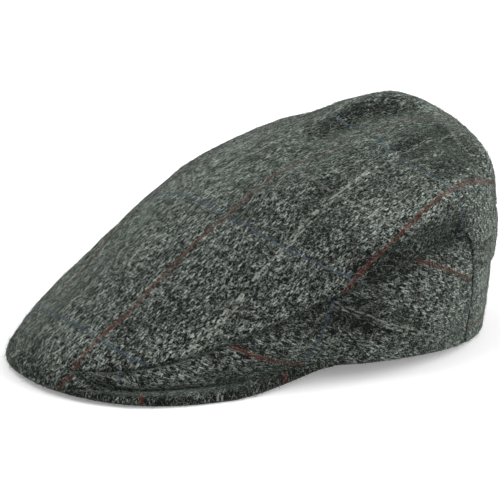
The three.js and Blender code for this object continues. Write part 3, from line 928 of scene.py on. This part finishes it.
RINGS = 72
FRONT_SIDE_SPOTS = 208  # ring spots from the front to a side seam, for the outermost ring
TAIL_ROWS = 24
FLAT_STEP = 4  # the flat cut is worked out on every fourth ring and column
BUNCHED = 0.35  # how much the ring's spots gather at the side seam
RINGS_BUNCHED = 0.45  # how much the rings gather at the top's seam
RINGS_BUNCHING = 1.9
FINE_SPOTS = 1441  # an eighth of a degree apart
SEAM_UNSEEN = 4.0  # further from its seam than this, the top shows no groove
FOLD_LEVEL = 1.3  # level at which the distance from the tail's fold is measured
MIDDLE_BAND = 1.5  # how near the middle the middle line's points are

# How the cloth of the top lies off its flat cut, in millimetres across and along it from
# the middle line. Towards the back both sides are drawn inwards, past the crown's valley
# the cloth is taken up by the fold, and the front's right side is eased in.
TOP_CLOTH = {"turn": 0.0, "shift": (-28.0, 69.0)}
REAR_DRAW = {"from": -44.0, "at": 7.6, "slope": 0.15, "growth": 0.0014, "ahead": 60, "side": (15, 25)}
BOW = {"from": 30.0, "growth": 0.0052}
PULLS = (
    {"name": "before the valley", "at": (25, -30), "reach": (20, 25), "across": 4.5},
    {"name": "crown valley", "at": (26, 18), "reach": (14, 28), "across": -9.0},
)
FRONT_EASE = {"across": -24.0, "from": (-4, -50), "over": (-22, -95)}


def ring_azimuths():
    """Azimuths of the outermost ring from the front to the back, bunched at the side seam."""
    fine = np.linspace(0, 180, FINE_SPOTS)
    points = shell_points(fine, np.full(len(fine), float(SEAM)))
    along = np.concatenate([[0], np.cumsum(np.linalg.norm(np.diff(points, axis=0), axis=1))])
    corner = np.interp(SIDE_END_SEAM, fine, along)
    front, back = (
        graded(count, end) * BUNCHED + np.linspace(0, 1, count + 1) * (1 - BUNCHED)
        for count, end in ((FRONT_SIDE_SPOTS, "high"), (4 * RINGS - FRONT_SIDE_SPOTS, "low"))
    )
    lengths = np.concatenate([front * corner, corner + back[1:] * (along[-1] - corner)])
    azimuths = np.interp(lengths, along, fine)
    azimuths[FRONT_SIDE_SPOTS] = SIDE_END_SEAM
    return azimuths


def top_edges(azimuth, level):
    """Distances of the top's points from its seams."""
    side = np.abs(azimuth)
    points = shell_points(azimuth, level)
    radius = np.hypot(points[:, 0], points[:, 1])
    above = (level - SEAM) * length_per_level(azimuth, np.full(len(level), SEAM + LEVEL_STEP))
    beside = np.radians(side - side_end(level)) * radius
    share = np.clip((side - SIDE_END_SEAM) / (180 - SIDE_END_SEAM) * 0.5, 0, 0.5)
    fold = (level - back_top(share)) * length_per_level(azimuth, np.full(len(level), FOLD_LEVEL))
    seam = np.where(side <= SIDE_END_SEAM, above, np.hypot(np.maximum(above, 0), np.maximum(beside, 0)))
    fold = np.where(side <= SIDE_END_SEAM, FAR, fold)
    unseen = SEAM_UNSEEN * (1 - seam_shows(azimuth))
    return [(np.maximum(seam, 0) + unseen, "seam"), (np.maximum(fold, 0), "fold")]


def top_levels():
    """Level of each ring, from the middle of the top out to its seam."""
    share = np.arange(RINGS + 1) / RINGS
    reach = (1 - RINGS_BUNCHED) * share + RINGS_BUNCHED * (1 - (1 - share) ** RINGS_BUNCHING)
    return TOP - (TOP - SEAM) * reach


def top_grid(step):
    """The top and its tail as one sheet: a mesh, and arrays of azimuth, level, and place
    in the two grids that it is made of."""
    rings, front = RINGS // step, FRONT_SIDE_SPOTS // step
    azimuths, levels = ring_azimuths()[::step], top_levels()[::step]
    bm, column, row = grid_mesh(2 * rings, 2 * rings)
    x, y = column - rings, row - rings
    ring = np.maximum(np.abs(x), np.abs(y))
    safe = np.maximum(ring, 1)
    on_side = np.where(np.abs(x) == ring, 2 + y / safe, 4 - np.abs(x) / safe)
    round_share = np.where(y == -ring, np.abs(x) / safe, on_side)
    turn = np.interp(round_share * rings, np.arange(len(azimuths)), azimuths) * np.where(x < 0, -1, 1)
    crown_place = np.column_stack([column, row]) * step
    tail, column, row = grid_mesh(2 * (4 * rings - front), TAIL_ROWS // step)
    back = azimuths[front:]
    start = np.concatenate([back, 360 - back[::-1][1:]])[column]
    share = (start - SIDE_END_SEAM) / (360 - 2 * SIDE_END_SEAM)
    tail_level = SEAM + (back_top(share) - SEAM) * (1 - graded(TAIL_ROWS, "low")[::step][row])
    tail_turn = back_turn(share, tail_level)
    tail_turn = np.where(tail_turn > 180, tail_turn - 360, tail_turn)
    mesh = mesh_of(tail, "tail")
    bm.from_mesh(mesh)
    bpy.data.meshes.remove(mesh)
    places = (crown_place, np.column_stack([column, row]) * step)
    return bm, np.concatenate([turn, tail_turn]), np.concatenate([levels[ring], tail_level]), places


def weld(bm, *arrays):
    """Welds vertices that lie together and returns the arrays for those that are left."""
    layers = [bm.verts.layers.float.new(f"value {k}") for k in range(len(arrays))]
    for vert, values in zip(bm.verts, zip(*arrays)):
        for layer, value in zip(layers, values):
            vert[layer] = value
    bmesh.ops.remove_doubles(bm, verts=bm.verts, dist=WELD)
    kept = [np.array([vert[layer] for vert in bm.verts]) for layer in layers]
    for k in range(len(arrays)):
        bm.verts.layers.float.remove(bm.verts.layers.float[f"value {k}"])
    return kept


def cut_to_flat(piece):
    """Lays the piece's cloth out flat: its two coordinates and its places in millimetres."""
    mesh = piece.data
    if not mesh.uv_layers:
        mesh.uv_layers.new(name="Cloth")
    bpy.context.view_layer.objects.active = piece
    piece.select_set(True)
    bpy.ops.object.mode_set(mode="EDIT")
    bpy.ops.mesh.select_all(action="SELECT")
    bpy.ops.uv.unwrap(method="MINIMUM_STRETCH", margin=0.0, iterations=12)
    bpy.ops.object.mode_set(mode="OBJECT")
    piece.select_set(False)
    laid = np.zeros((len(mesh.vertices), 2))
    laid[numbers(mesh.loops, "vertex_index", 1, int)] = numbers(mesh.uv_layers[0].uv, "vector", 2)
    places = numbers(mesh.vertices, "co", 3) * 1000
    edges = numbers(mesh.edges, "vertices", 2, int)
    steps = (np.diff(spots[edges], axis=1)[:, 0] for spots in (places, laid))
    real, drawn = (np.linalg.norm(step, axis=1).sum() for step in steps)
    return laid * (real / drawn), places


def straighten(laid, points):
    """Turns the flat cut so that its middle line runs from front to back."""
    middle = np.abs(points[:, 0]) < MIDDLE_BAND
    line = laid[middle] - laid[middle].mean(0)
    depth = points[middle][:, 1] - points[middle][:, 1].mean()
    toward_back = (line * depth[:, None]).sum(0)
    toward_back /= np.linalg.norm(toward_back)
    flat = (laid - laid[middle].mean(0)) @ np.array([[toward_back[1], -toward_back[0]], toward_back]).T
    if np.corrcoef(flat[:, 0], points[:, 0])[0, 1] < 0:
        flat[:, 0] *= -1
    return flat


def flat_cut():
    """The top laid out flat: its two coordinates at every place of the two grids."""
    bm, turn, level, places = top_grid(FLAT_STEP)
    place(bm.verts, shell_points(turn, level, overhang(turn, level)))
    apart = np.array([vert.co[:] for vert in bm.verts]) * 1000
    bmesh.ops.remove_doubles(bm, verts=bm.verts, dist=WELD)
    piece = add_object("flat", mesh_of(bm, "flat"))
    laid, points = cut_to_flat(piece)
    mesh = piece.data
    bpy.data.objects.remove(piece)
    bpy.data.meshes.remove(mesh)
    laid = straighten(laid, points)[[((points - spot) ** 2).sum(1).argmin() for spot in apart]]
    grids = []
    for part, spots in zip((laid[: len(places[0])], laid[len(places[0]) :]), places):
        spots = spots // FLAT_STEP
        grid = np.zeros((*(spots.max(0) + 1), 2))
        grid[tuple(spots.T)] = part
        grids.append(grid)
    return grids


def between(grid, spots):
    """Values of a coarse grid at places given in fine steps."""
    at = spots / FLAT_STEP
    low = np.minimum(np.floor(at).astype(int), np.array(grid.shape[:2]) - 2)
    share = at - low
    total = 0
    for x in (0, 1):
        for y in (0, 1):
            weight = np.where(x, share[:, 0], 1 - share[:, 0]) * np.where(y, share[:, 1], 1 - share[:, 1])
            total = total + grid[low[:, 0] + x, low[:, 1] + y] * weight[:, None]
    return total


def eased(flat):
    """The cloth's own coordinates for places on the flat cut, both in millimetres."""
    across, along = flat[:, 0], flat[:, 1]
    side = np.abs(across)
    behind = along - REAR_DRAW["from"]
    draw = REAR_DRAW["at"] + REAR_DRAW["slope"] * behind + REAR_DRAW["growth"] * behind**2
    start, over = REAR_DRAW["side"]
    draw = draw * smooth((behind + REAR_DRAW["ahead"]) / REAR_DRAW["ahead"]) * smooth((side - start) / over)
    shift = np.sign(across) * draw
    for pull in PULLS:
        off = (flat - pull["at"]) / pull["reach"]
        shift = shift + pull["across"] * np.exp(-(off**2).sum(1))
    ease = smooth((across - FRONT_EASE["from"][0]) / FRONT_EASE["over"][0])
    ease = ease * smooth((along - FRONT_EASE["from"][1]) / FRONT_EASE["over"][1])
    shift = shift + FRONT_EASE["across"] * ease
    bow = BOW["growth"] * np.maximum(side - BOW["from"], 0) ** 2
    return np.column_stack([across + shift, along - bow])


class FLATCAP_OT_top(bpy.types.Operator):
    """Make the one-piece top with its tail down to the back panel"""

    bl_idname = "flatcap.top"
    bl_label = "Top panel"

    def execute(self, context):
        flat_grids = flat_cut()
        bm, turn, level, places = top_grid(1)
        flat = eased(np.concatenate([between(grid, spots) for grid, spots in zip(flat_grids, places)]))
        points, groove = outer_points(turn, level, overhang(turn, level), top_edges(turn, level), 3)
        place(bm.verts, points)
        turn, level, across, along, groove = weld(bm, turn, level, flat[:, 0], flat[:, 1], groove)
        set_shades(bm, groove)
        set_cloth_map(bm, *turned(across, along, TOP_CLOTH))
        close_wall(bm, inner_points(turn, level, overhang(turn, level)))
        finish_piece(bm, "top_cloth", "top_panel", [TWEED, LINING])
        return {"FINISHED"}


# ---- Side and back panels ------------------------------------------------------------------

SIDE_COLUMNS = 180
SIDE_ROWS = 36
SIDE_CLOTH = {"turn": 27.0, "shift": (-63.0, 46.0)}
ON_PEAK = 72.0  # up to this azimuth a side panel meets the peak and has no hem
BACK_COLUMNS = 120
BACK_ROWS = 30
BACK_CLOTH = {"turn": 0.0, "shift": (-8.5, 20.0)}


def lay_out(turn, level, column, row):
    """A panel's azimuths, points and lengths along and up it, as grids of columns and rows."""
    grid = np.empty((column.max() + 1, row.max() + 1, 4))
    grid[column, row, 0] = turn
    grid[column, row, 1:] = shell_points(turn, level)
    return grid[..., 0], grid[..., 1:], *arc_lengths(grid[..., 1:])


def finish_panel(bm, turn, level, edges, seed, flat, name, node):
    """Shapes a panel, with its edges turned in, and gives it its cloth and its inner side.
    The last edge is its hem."""
    points, groove = outer_points(turn, level, 0.0, edges, seed)
    place(bm.verts, points)
    set_shades(bm, groove)
    set_cloth_map(bm, *flat)
    close_wall(bm, inner_points(turn, level, 0.0, edges[-1][0]))
    finish_piece(bm, name, node, [TWEED, LINING])


class FLATCAP_OT_sides(bpy.types.Operator):
    """Make the two side panels"""

    bl_idname = "flatcap.sides"
    bl_label = "Side panels"

    def execute(self, context):
        self.make("left", 1, 4)
        self.make("right", -1, 5)
        return {"FINISHED"}

    def make(self, side, hand, seed):
        columns = graded(SIDE_COLUMNS, "both")
        bm, column, row = grid_mesh(SIDE_COLUMNS, SIDE_ROWS)
        share = columns[column] if hand > 0 else 1 - columns[column]
        low = lower_level(share)
        level = low + graded(SIDE_ROWS, "both")[row] * (SEAM - low)
        turn = SIDE_START + share * (side_end(level) - SIDE_START)
        points = shell_points(turn, level)
        radius = np.hypot(points[:, 0], points[:, 1])
        scale = length_per_level(turn, np.clip(level, 0, SEAM - 2 * LEVEL_STEP))
        to_low = (level - low) * scale
        on_peak = turn < ON_PEAK
        edges = [
            ((SEAM - level) * scale, "seam"),
            (np.radians(side_end(level) - turn) * radius, "tight"),
            (np.radians(turn - SIDE_START) * radius, "seam"),
            (np.where(on_peak, to_low, FAR), "crease"),
            (np.where(on_peak, FAR, to_low), "hem"),
        ]
        turns, places, along, up = lay_out(hand * turn, level, column, row)
        middle = np.abs(hand * turns[:, 0] - 90).argmin()
        along, up = (along - along[middle]) * hand, up + places[:, :1, 2]
        flat = turned(up[column, row], along[column, row], SIDE_CLOTH)
        names = (f"side_cloth_{side}", f"side_panel_{side}")
        finish_panel(bm, hand * turn, level, edges, seed, flat, *names)


class FLATCAP_OT_back(bpy.types.Operator):
    """Make the back panel between the side panels, under the top's tail"""

    bl_idname = "flatcap.back"
    bl_label = "Back panel"

    def execute(self, context):
        bm, column, row = grid_mesh(BACK_COLUMNS, BACK_ROWS)
        share = graded(BACK_COLUMNS, "both")[column]
        level = graded(BACK_ROWS, "both")[row] * back_top(share)
        turn = back_turn(share, level)
        wide = side_end(level)
        points = shell_points(turn, level)
        radius = np.hypot(points[:, 0], points[:, 1])
        edges = [
            (np.radians(turn - wide) * radius, "tight"),
            (np.radians(360 - wide - turn) * radius, "tight"),
            (level * length_per_level(turn, level), "hem"),
        ]
        _, _, along, up = lay_out(turn, level, column, row)
        along = along - along[BACK_COLUMNS // 2]
        flat = turned(up[column, row], along[column, row], BACK_CLOTH)
        finish_panel(bm, turn, level, edges, 6, flat, "back_cloth", "back_panel")
        return {"FINISHED"}


# ---- Peak --------------------------------------------------------------------------------------

PEAK_END = 68.5
PEAK_COLUMNS = 200
PEAK_STEPS = {"under": 16, "round": 10, "lip": 14, "dive": 3, "ledge": 6, "inside": 10, "end": 4}
PEAK_LEDGE = 3.0  # how far the crease over the peak dives in behind the side panel
PEAK_DIMPLES = {"size": 9.0, "height": 0.18, "seed": 7}
PEAK_CREASE = 2.2  # how wide the crease's painted shadow is, in rows of the grid
PEAK_CLOTH = {"turn": 0.0, "shift": (-67.0, 14.0)}
FRONT_CLOTH = {"turn": -38.0, "shift": (-19.5, 46.0)}
FRONT_CLOTH_REACH = 40.0  # how far from the middle the front's cloth covers the edge as well
FRONT_CLOTH_ABOVE = 6.5  # further out it lies only this far above the edge
ENDS_FROM = 40.0  # azimuth from which the peak's ends rise to join the hem
ENDS_LIFT = 2.6
CURVE_SPOTS = 7
CLIMB_SPOTS = 13
PEAK_GAP = 1.0  # how far the edge stands out before it is rounded, and the lip stands off
PEAK_ROUNDINGS = 2


def along_line(points, count):
    """Points spread evenly along a broken line."""
    points = np.asarray(points)
    lengths = np.concatenate([[0], np.cumsum(np.linalg.norm(np.diff(points, axis=0), axis=1))])
    at = np.linspace(0, lengths[-1], count + 1)
    return np.stack([np.interp(at, lengths, points[:, axis]) for axis in range(3)], -1)


def peak_outline(turn):
    """The closed outline of the peak at one azimuth, from the inside under and over the edge."""
    values = curve_through([row[0] for row in PEAK], [row[1:] for row in PEAK], np.abs([turn]))
    sizes = dict(zip(PEAK_NAMES, np.maximum(values[0], 0)))
    edge, inner, half = sizes["edge"], sizes["inner"], sizes["thick"] / 2
    middle = sizes["underside"] + half
    share = (abs(turn) - SIDE_START) / (SIDE_END_RIM - SIDE_START)
    low = float(lower_level(np.clip(share, 0, 1))) if share > 0 else float(SEAM)

    def at(radius, height):
        return on_azimuth(turn, radius, height)

    rim = form_points(np.array([turn]), np.array([0.0]))[0]
    stands_out = np.clip((edge - math.hypot(rim[0], rim[1]) - PEAK_GAP) / half, 0, 1)
    quarter = np.linspace(0, math.pi / 2, CURVE_SPOTS)
    bottom = [at(edge - half + half * math.sin(a), middle - half * math.cos(a)) for a in quarter]
    upper = [
        at(edge - half * stands_out * (1 - math.cos(a)), middle + half * stands_out * math.sin(a))
        for a in quarter
    ]
    climb = list(shell_points(np.full(CLIMB_SPOTS, turn), np.linspace(0, low, CLIMB_SPOTS)))
    lip = [*upper, *climb] if low > LEVEL_STEP else [*upper, climb[0]]
    inner_top, inner_under = (at(inner, sizes["inner_z"] + off) for off in (half, -half))
    ledge = lip[-1] - shell_normals(np.array([turn]), np.array([low]))[0] * PEAK_LEDGE
    ledge_radius = math.hypot(ledge[0], ledge[1])
    foot = (ledge_radius - inner) / (edge - inner)
    foot_z = min(ledge[2], inner_top[2] + foot * (middle + half - inner_top[2]))
    behind = at(ledge_radius - PEAK_GAP, foot_z)
    parts = (
        (inner_under, bottom[0]), bottom, lip, (lip[-1], ledge), (ledge, behind),
        (behind, inner_top), (inner_top, inner_under),
    )
    laid = [along_line(part, steps) for part, steps in zip(parts, PEAK_STEPS.values())]
    return np.concatenate([laid[0][:1], *(part[1:] for part in laid)])


class FLATCAP_OT_peak(bpy.types.Operator):
    """Make the covered peak"""

    bl_idname = "flatcap.peak"
    bl_label = "Peak"

    def execute(self, context):
        turns = np.linspace(-PEAK_END, PEAK_END, PEAK_COLUMNS + 1)
        grid = np.array([peak_outline(turn) for turn in turns])
        grid[..., 2] += ENDS_LIFT * smooth((np.abs(turns) - ENDS_FROM) / (PEAK_END - ENDS_FROM))[:, None]
        edge_row = PEAK_STEPS["under"] + PEAK_STEPS["round"]
        lip_end = edge_row + PEAK_STEPS["lip"]
        for _ in range(PEAK_ROUNDINGS):
            rounder = (grid[:, :-2] + 2 * grid[:, 1:-1] + grid[:, 2:]) / 4
            rounder[:, lip_end - 1] = grid[:, lip_end]
            grid[:, 1:-1] = rounder
        bm, column, row = grid_mesh(PEAK_COLUMNS, grid.shape[1] - 1)
        points = grid[column, row]
        outward = points * (1, 1, 0)
        outward /= np.linalg.norm(outward, axis=1, keepdims=True)
        dimples = PEAK_DIMPLES["height"] * ripple(points, PEAK_DIMPLES["size"], PEAK_DIMPLES["seed"])
        dimples = dimples * ((row > PEAK_STEPS["under"]) & (row < lip_end))
        place(bm.verts, points + outward * dimples[:, None])
        along, up = arc_lengths(grid)
        along = (along[:, edge_row] - along[PEAK_COLUMNS // 2, edge_row])[column]
        up = (up - up[:, edge_row : edge_row + 1])[column, row]
        set_cloth_map(bm, *turned(along, up, PEAK_CLOTH))
        set_cloth_map(bm, *turned(along, up, FRONT_CLOTH), self.front_faces(bm, along, up))
        # painted shadow along the crease where the side panel meets the peak, faded out at the front
        crease = np.exp(-(((row - lip_end) / PEAK_CREASE) ** 2)) * seam_shows(turns[column])
        set_shades(bm, crease)
        bmesh.ops.remove_doubles(bm, verts=bm.verts, dist=WELD)
        ends = [edge for edge in bm.edges if edge.is_boundary]
        bmesh.ops.holes_fill(bm, edges=ends, sides=0)
        bmesh.ops.recalc_face_normals(bm, faces=bm.faces)
        finish_piece(bm, "peak_cloth", "peak", [TWEED])
        return {"FINISHED"}

    def front_faces(self, bm, along, up):
        """Faces that have the cloth that comes down from the top."""
        found = []
        for face in bm.faces:
            corners = [vert.index for vert in face.verts]
            above = up[corners].mean() > FRONT_CLOTH_ABOVE
            if above or abs(along[corners].mean()) < FRONT_CLOTH_REACH:
                found.append(face)
        return found


# ---- Nap of loose fibres --------------------------------------------------------------------------

CLOTH_PIECES = ("top_cloth", "side_cloth_left", "side_cloth_right", "back_cloth", "peak_cloth")

# One row for each set of fibres: how many there are for each long one, their length against
# the long ones' and half thickness in metres, how far they stand off the cloth, their curl,
# how far they turn from the warp, and the number of cuts that let them bend.
LONG = {
    "share": 1.0, "length": 1.0, "thick": (4e-5, 9e-5), "stand": (0.04, 0.35),
    "curl": 0.8, "spread": 1.4, "cuts": 3,
}
SHORT = {
    "share": 1.7, "length": 0.5, "thick": (6e-5, 1.2e-4), "stand": (0.03, 0.5),
    "curl": 0.35, "spread": 0.55, "cuts": 1,
}
LIFTED = {"length": 0.42, "thick": (5e-5, 1.0e-4), "stand": (0.1, 0.7), "spread": 0.8}
NAPS = (
    {**LONG, "name": "nap_fibres", "seed": 11},
    {**SHORT, "name": "nap_short_1", "seed": 12},
    {**SHORT, "name": "nap_short_2", "seed": 13},
    {**SHORT, **LIFTED, "name": "nap_short_3", "seed": 14},
)
ROOT_STRAY = 0.0008  # how far a fibre's root lies from its face's middle, in metres
LENGTH_SPREAD = 0.4
LONGEST = 2.0  # no fibre is longer than this many middling ones
DROOP = 0.75  # how much of its rise a fibre loses again at its tip
OFF_FLOOR = 0.0002


def one_fibre(cuts):
    """A thin three-sided spike along Z, one unit long, cut across so that it can bend."""
    bm = bmesh.new()
    bmesh.ops.create_cone(bm, segments=3, radius1=1.0, radius2=0.0, depth=1.0, cap_ends=True)
    bmesh.ops.translate(bm, verts=bm.verts, vec=(0, 0, 0.5))
    for number in range(cuts):
        cut = (0, 0, (number + 1) / (cuts + 1))
        geom = [*bm.verts, *bm.edges, *bm.faces]
        bmesh.ops.bisect_plane(bm, geom=geom, plane_co=cut, plane_no=(0, 0, 1))
    return mesh_of(bm, "fibre")


def cloth_faces():
    """Centres, outward directions, warp directions and areas of all faces that show cloth."""
    found = []
    for name in CLOTH_PIECES:
        mesh = bpy.data.objects[name].data
        outside = numbers(mesh.polygons, "material_index", 1, int) == 0
        first = numbers(mesh.polygons, "loop_start", 1, int)[outside]
        corner = numbers(mesh.loops, "vertex_index", 1, int)
        places = numbers(mesh.vertices, "co", 3)
        flat = numbers(mesh.uv_layers[0].uv, "vector", 2)
        edges = [places[corner[first + k]] - places[corner[first]] for k in (1, 2)]
        steps = [flat[first + k] - flat[first] for k in (1, 2)]
        size = steps[0][:, 0] * steps[1][:, 1] - steps[1][:, 0] * steps[0][:, 1]
        warp = (steps[0][:, :1] * edges[1] - steps[1][:, :1] * edges[0]) * np.sign(size)[:, None]
        warp /= np.maximum(np.linalg.norm(warp, axis=1, keepdims=True), 1e-12)
        centre, normal = (numbers(mesh.polygons, key, 3)[outside] for key in ("center", "normal"))
        found.append((centre, normal, warp, numbers(mesh.polygons, "area", 1)[outside]))
    return [np.concatenate(part) for part in zip(*found)]


class FLATCAP_OT_nap(bpy.types.Operator):
    """Scatter loose wool fibres over the cloth"""

    bl_idname = "flatcap.nap"
    bl_label = "Nap"

    def execute(self, context):
        faces = cloth_faces()
        for row in NAPS:
            self.scatter(context, row, faces)
        return {"FINISHED"}

    def copies(self, context, name, base, count):
        """One mesh of many fibres, made by an array."""
        fibres = add_object(name, base)
        array = fibres.modifiers.new("Copies", "ARRAY")
        array.count = count
        array.use_relative_offset = False
        evaluated = fibres.evaluated_get(context.evaluated_depsgraph_get())
        mesh = bpy.data.meshes.new_from_object(evaluated)
        fibres.modifiers.clear()
        fibres.data = mesh
        bpy.data.meshes.remove(base)
        return fibres

    def scatter(self, context, row, faces):
        sizes = settings()
        chance = np.random.default_rng(row["seed"])
        count = int(sizes.fibre_count * row["share"])
        fibres = self.copies(context, row["name"], one_fibre(row["cuts"]), count)
        mesh = fibres.data
        local = numbers(mesh.vertices, "co", 3).reshape(count, -1, 3)
        centres, normals, warps, areas = faces
        picked = chance.choice(len(areas), size=count, p=areas / areas.sum())
        outward = normals[picked]
        jitter = chance.normal(0, ROOT_STRAY, (count, 3))
        roots = centres[picked] + jitter - outward * (jitter * outward).sum(1, keepdims=True)
        lean = warps[picked] * chance.choice((-1, 1), count)[:, None]
        lean = lean + chance.normal(0, row["spread"], (count, 3))
        lean -= outward * (lean * outward).sum(1, keepdims=True)
        lean /= np.linalg.norm(lean, axis=1, keepdims=True)
        side = np.cross(outward, lean)
        stand = chance.uniform(*row["stand"], count)[:, None]
        length = sizes.fibre_length * row["length"]
        length = length * np.minimum(chance.lognormal(0, LENGTH_SPREAD, count), LONGEST)[:, None]
        thick = chance.uniform(*row["thick"], count)
        curl = chance.normal(0, row["curl"], (count, 2)) * length
        forward = lean * np.sqrt(1 - stand**2) + outward * stand
        t = local[:, :, 2:3]
        spine = forward[:, None] * t * length[:, None]
        spine = spine + side[:, None] * (t**2) * curl[:, None, :1]
        spine = spine - outward[:, None] * (t**2) * (stand * length)[:, None] * DROOP
        round_it = outward[:, None] * local[:, :, :1] + side[:, None] * local[:, :, 1:2]
        points = roots[:, None] + spine + round_it * thick[:, None, None]
        points[..., 2] = np.maximum(points[..., 2], OFF_FLOOR)
        mesh.vertices.foreach_set("co", points.ravel())
        mesh.update()
        mesh.materials.append(material_named(FIBRES))
        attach(fibres, "root")


# ---- Stage ------------------------------------------------------------------------------------------

AIM = (0.0, -0.0037, 0.0475)
LENS = 171.5
SKY = 0.7  # strength of the even light from all round
NEAR, BEYOND = 0.05, 50.0  # between these distances the camera sees
FLOOR_SIZE = 6.0
FLOOR_SHADER = {"Roughness": 0.95, "Specular IOR Level": 0.0}
FLOOR_SEEN = (0.93, 0.93, 0.93)
FLOOR_LIGHTS = (0.35, 0.35, 0.35)  # the floor's colour for the light that it throws back
FLOOR_GLOW = 0.25  # lifts the shadow on the pale floor, without lighting the cap
LIGHT_SOFTNESS = 35.0  # how wide each light looks from the cap, in degrees
LIGHTS = (
    {"name": "side light", "azimuth": 115.0, "elevation": 25.0, "strength": 1.3},
    {"name": "top light", "azimuth": -20.0, "elevation": 65.0, "strength": 0.8},
    {"name": "rear light", "azimuth": 168.0, "elevation": 30.0, "strength": 0.8},
)


class FLATCAP_OT_stage(bpy.types.Operator):
    """Make the floor, the lights and the camera"""

    bl_idname = "flatcap.stage"
    bl_label = "Stage"

    def execute(self, context):
        sizes = settings()
        scene = context.scene
        scene.view_settings.view_transform = "Standard"
        bm = bmesh.new()
        bmesh.ops.create_grid(bm, x_segments=1, y_segments=1, size=FLOOR_SIZE)
        floor = add_object("floor", mesh_of(bm, "floor"))
        tree, shader = new_material("Pale floor", FLOOR_SHADER)
        seen = tree.node("ShaderNodeLightPath").outputs["Is Camera Ray"]
        tree.put(shader["Base Color"], tree.mix(seen, FLOOR_LIGHTS, FLOOR_SEEN))
        tree.put(shader["Emission Strength"], tree.times(seen, FLOOR_GLOW))
        floor.data.materials.append(bpy.data.materials["Pale floor"])
        scene.world = bpy.data.worlds.new("Studio")
        scene.world.use_nodes = True
        sky = scene.world.node_tree.nodes["Background"].inputs
        sky["Color"].default_value = (1, 1, 1, 1)
        sky["Strength"].default_value = SKY * sizes.light_level
        for row in LIGHTS:
            self.light(row, sizes.light_level)
        camera = add_object("camera", bpy.data.cameras.new("camera"))
        scene.camera = camera
        camera.data.lens = LENS
        camera.data.clip_start, camera.data.clip_end = NEAR, BEYOND
        self.aim(camera, sizes.camera_azimuth, sizes.camera_elevation, sizes.camera_distance)
        return {"FINISHED"}

    def aim(self, thing, azimuth, elevation, distance):
        level = math.cos(elevation)
        back = Vector((math.sin(azimuth) * level, -math.cos(azimuth) * level, math.sin(elevation)))
        thing.location = Vector(AIM) + back * distance
        thing.rotation_mode = "QUATERNION"
        thing.rotation_quaternion = (-back).to_track_quat("-Z", "Y")

    def light(self, row, level):
        lamp = add_object(row["name"], bpy.data.lights.new(row["name"], "SUN"))
        lamp.data.angle = math.radians(LIGHT_SOFTNESS)
        lamp.data.energy = row["strength"] * level
        self.aim(lamp, math.radians(row["azimuth"]), math.radians(row["elevation"]), 2.0)


class FLATCAP_PT_panel(bpy.types.Panel):
    """The steps that make the cap"""

    bl_idname = "FLATCAP_PT_panel"
    bl_label = "Flat Cap"
    bl_space_type = "VIEW_3D"
    bl_region_type = "UI"
    bl_category = "Flat Cap"

    def draw(self, context):
        for operator in STEPS:
            self.layout.operator(operator.bl_idname)
        for name in FlatCapSettings.__annotations__:
            self.layout.prop(context.scene.flat_cap, name)


STEPS = (
    FLATCAP_OT_stage,
    FLATCAP_OT_top,
    FLATCAP_OT_sides,
    FLATCAP_OT_back,
    FLATCAP_OT_peak,
    FLATCAP_OT_nap,
)
CLASSES = (FlatCapSettings, *STEPS, FLATCAP_PT_panel)


def register():
    for made in CLASSES:
        bpy.utils.register_class(made)
    bpy.types.Scene.flat_cap = bpy.props.PointerProperty(type=FlatCapSettings)


def unregister():
    del bpy.types.Scene.flat_cap
    for made in reversed(CLASSES):
        bpy.utils.unregister_class(made)


def main():
    register()
    bpy.ops.flatcap.stage()
    bpy.ops.flatcap.top()
    bpy.ops.flatcap.sides()
    bpy.ops.flatcap.back()
    bpy.ops.flatcap.peak()
    bpy.ops.flatcap.nap()


if __name__ == "__main__":
    main()
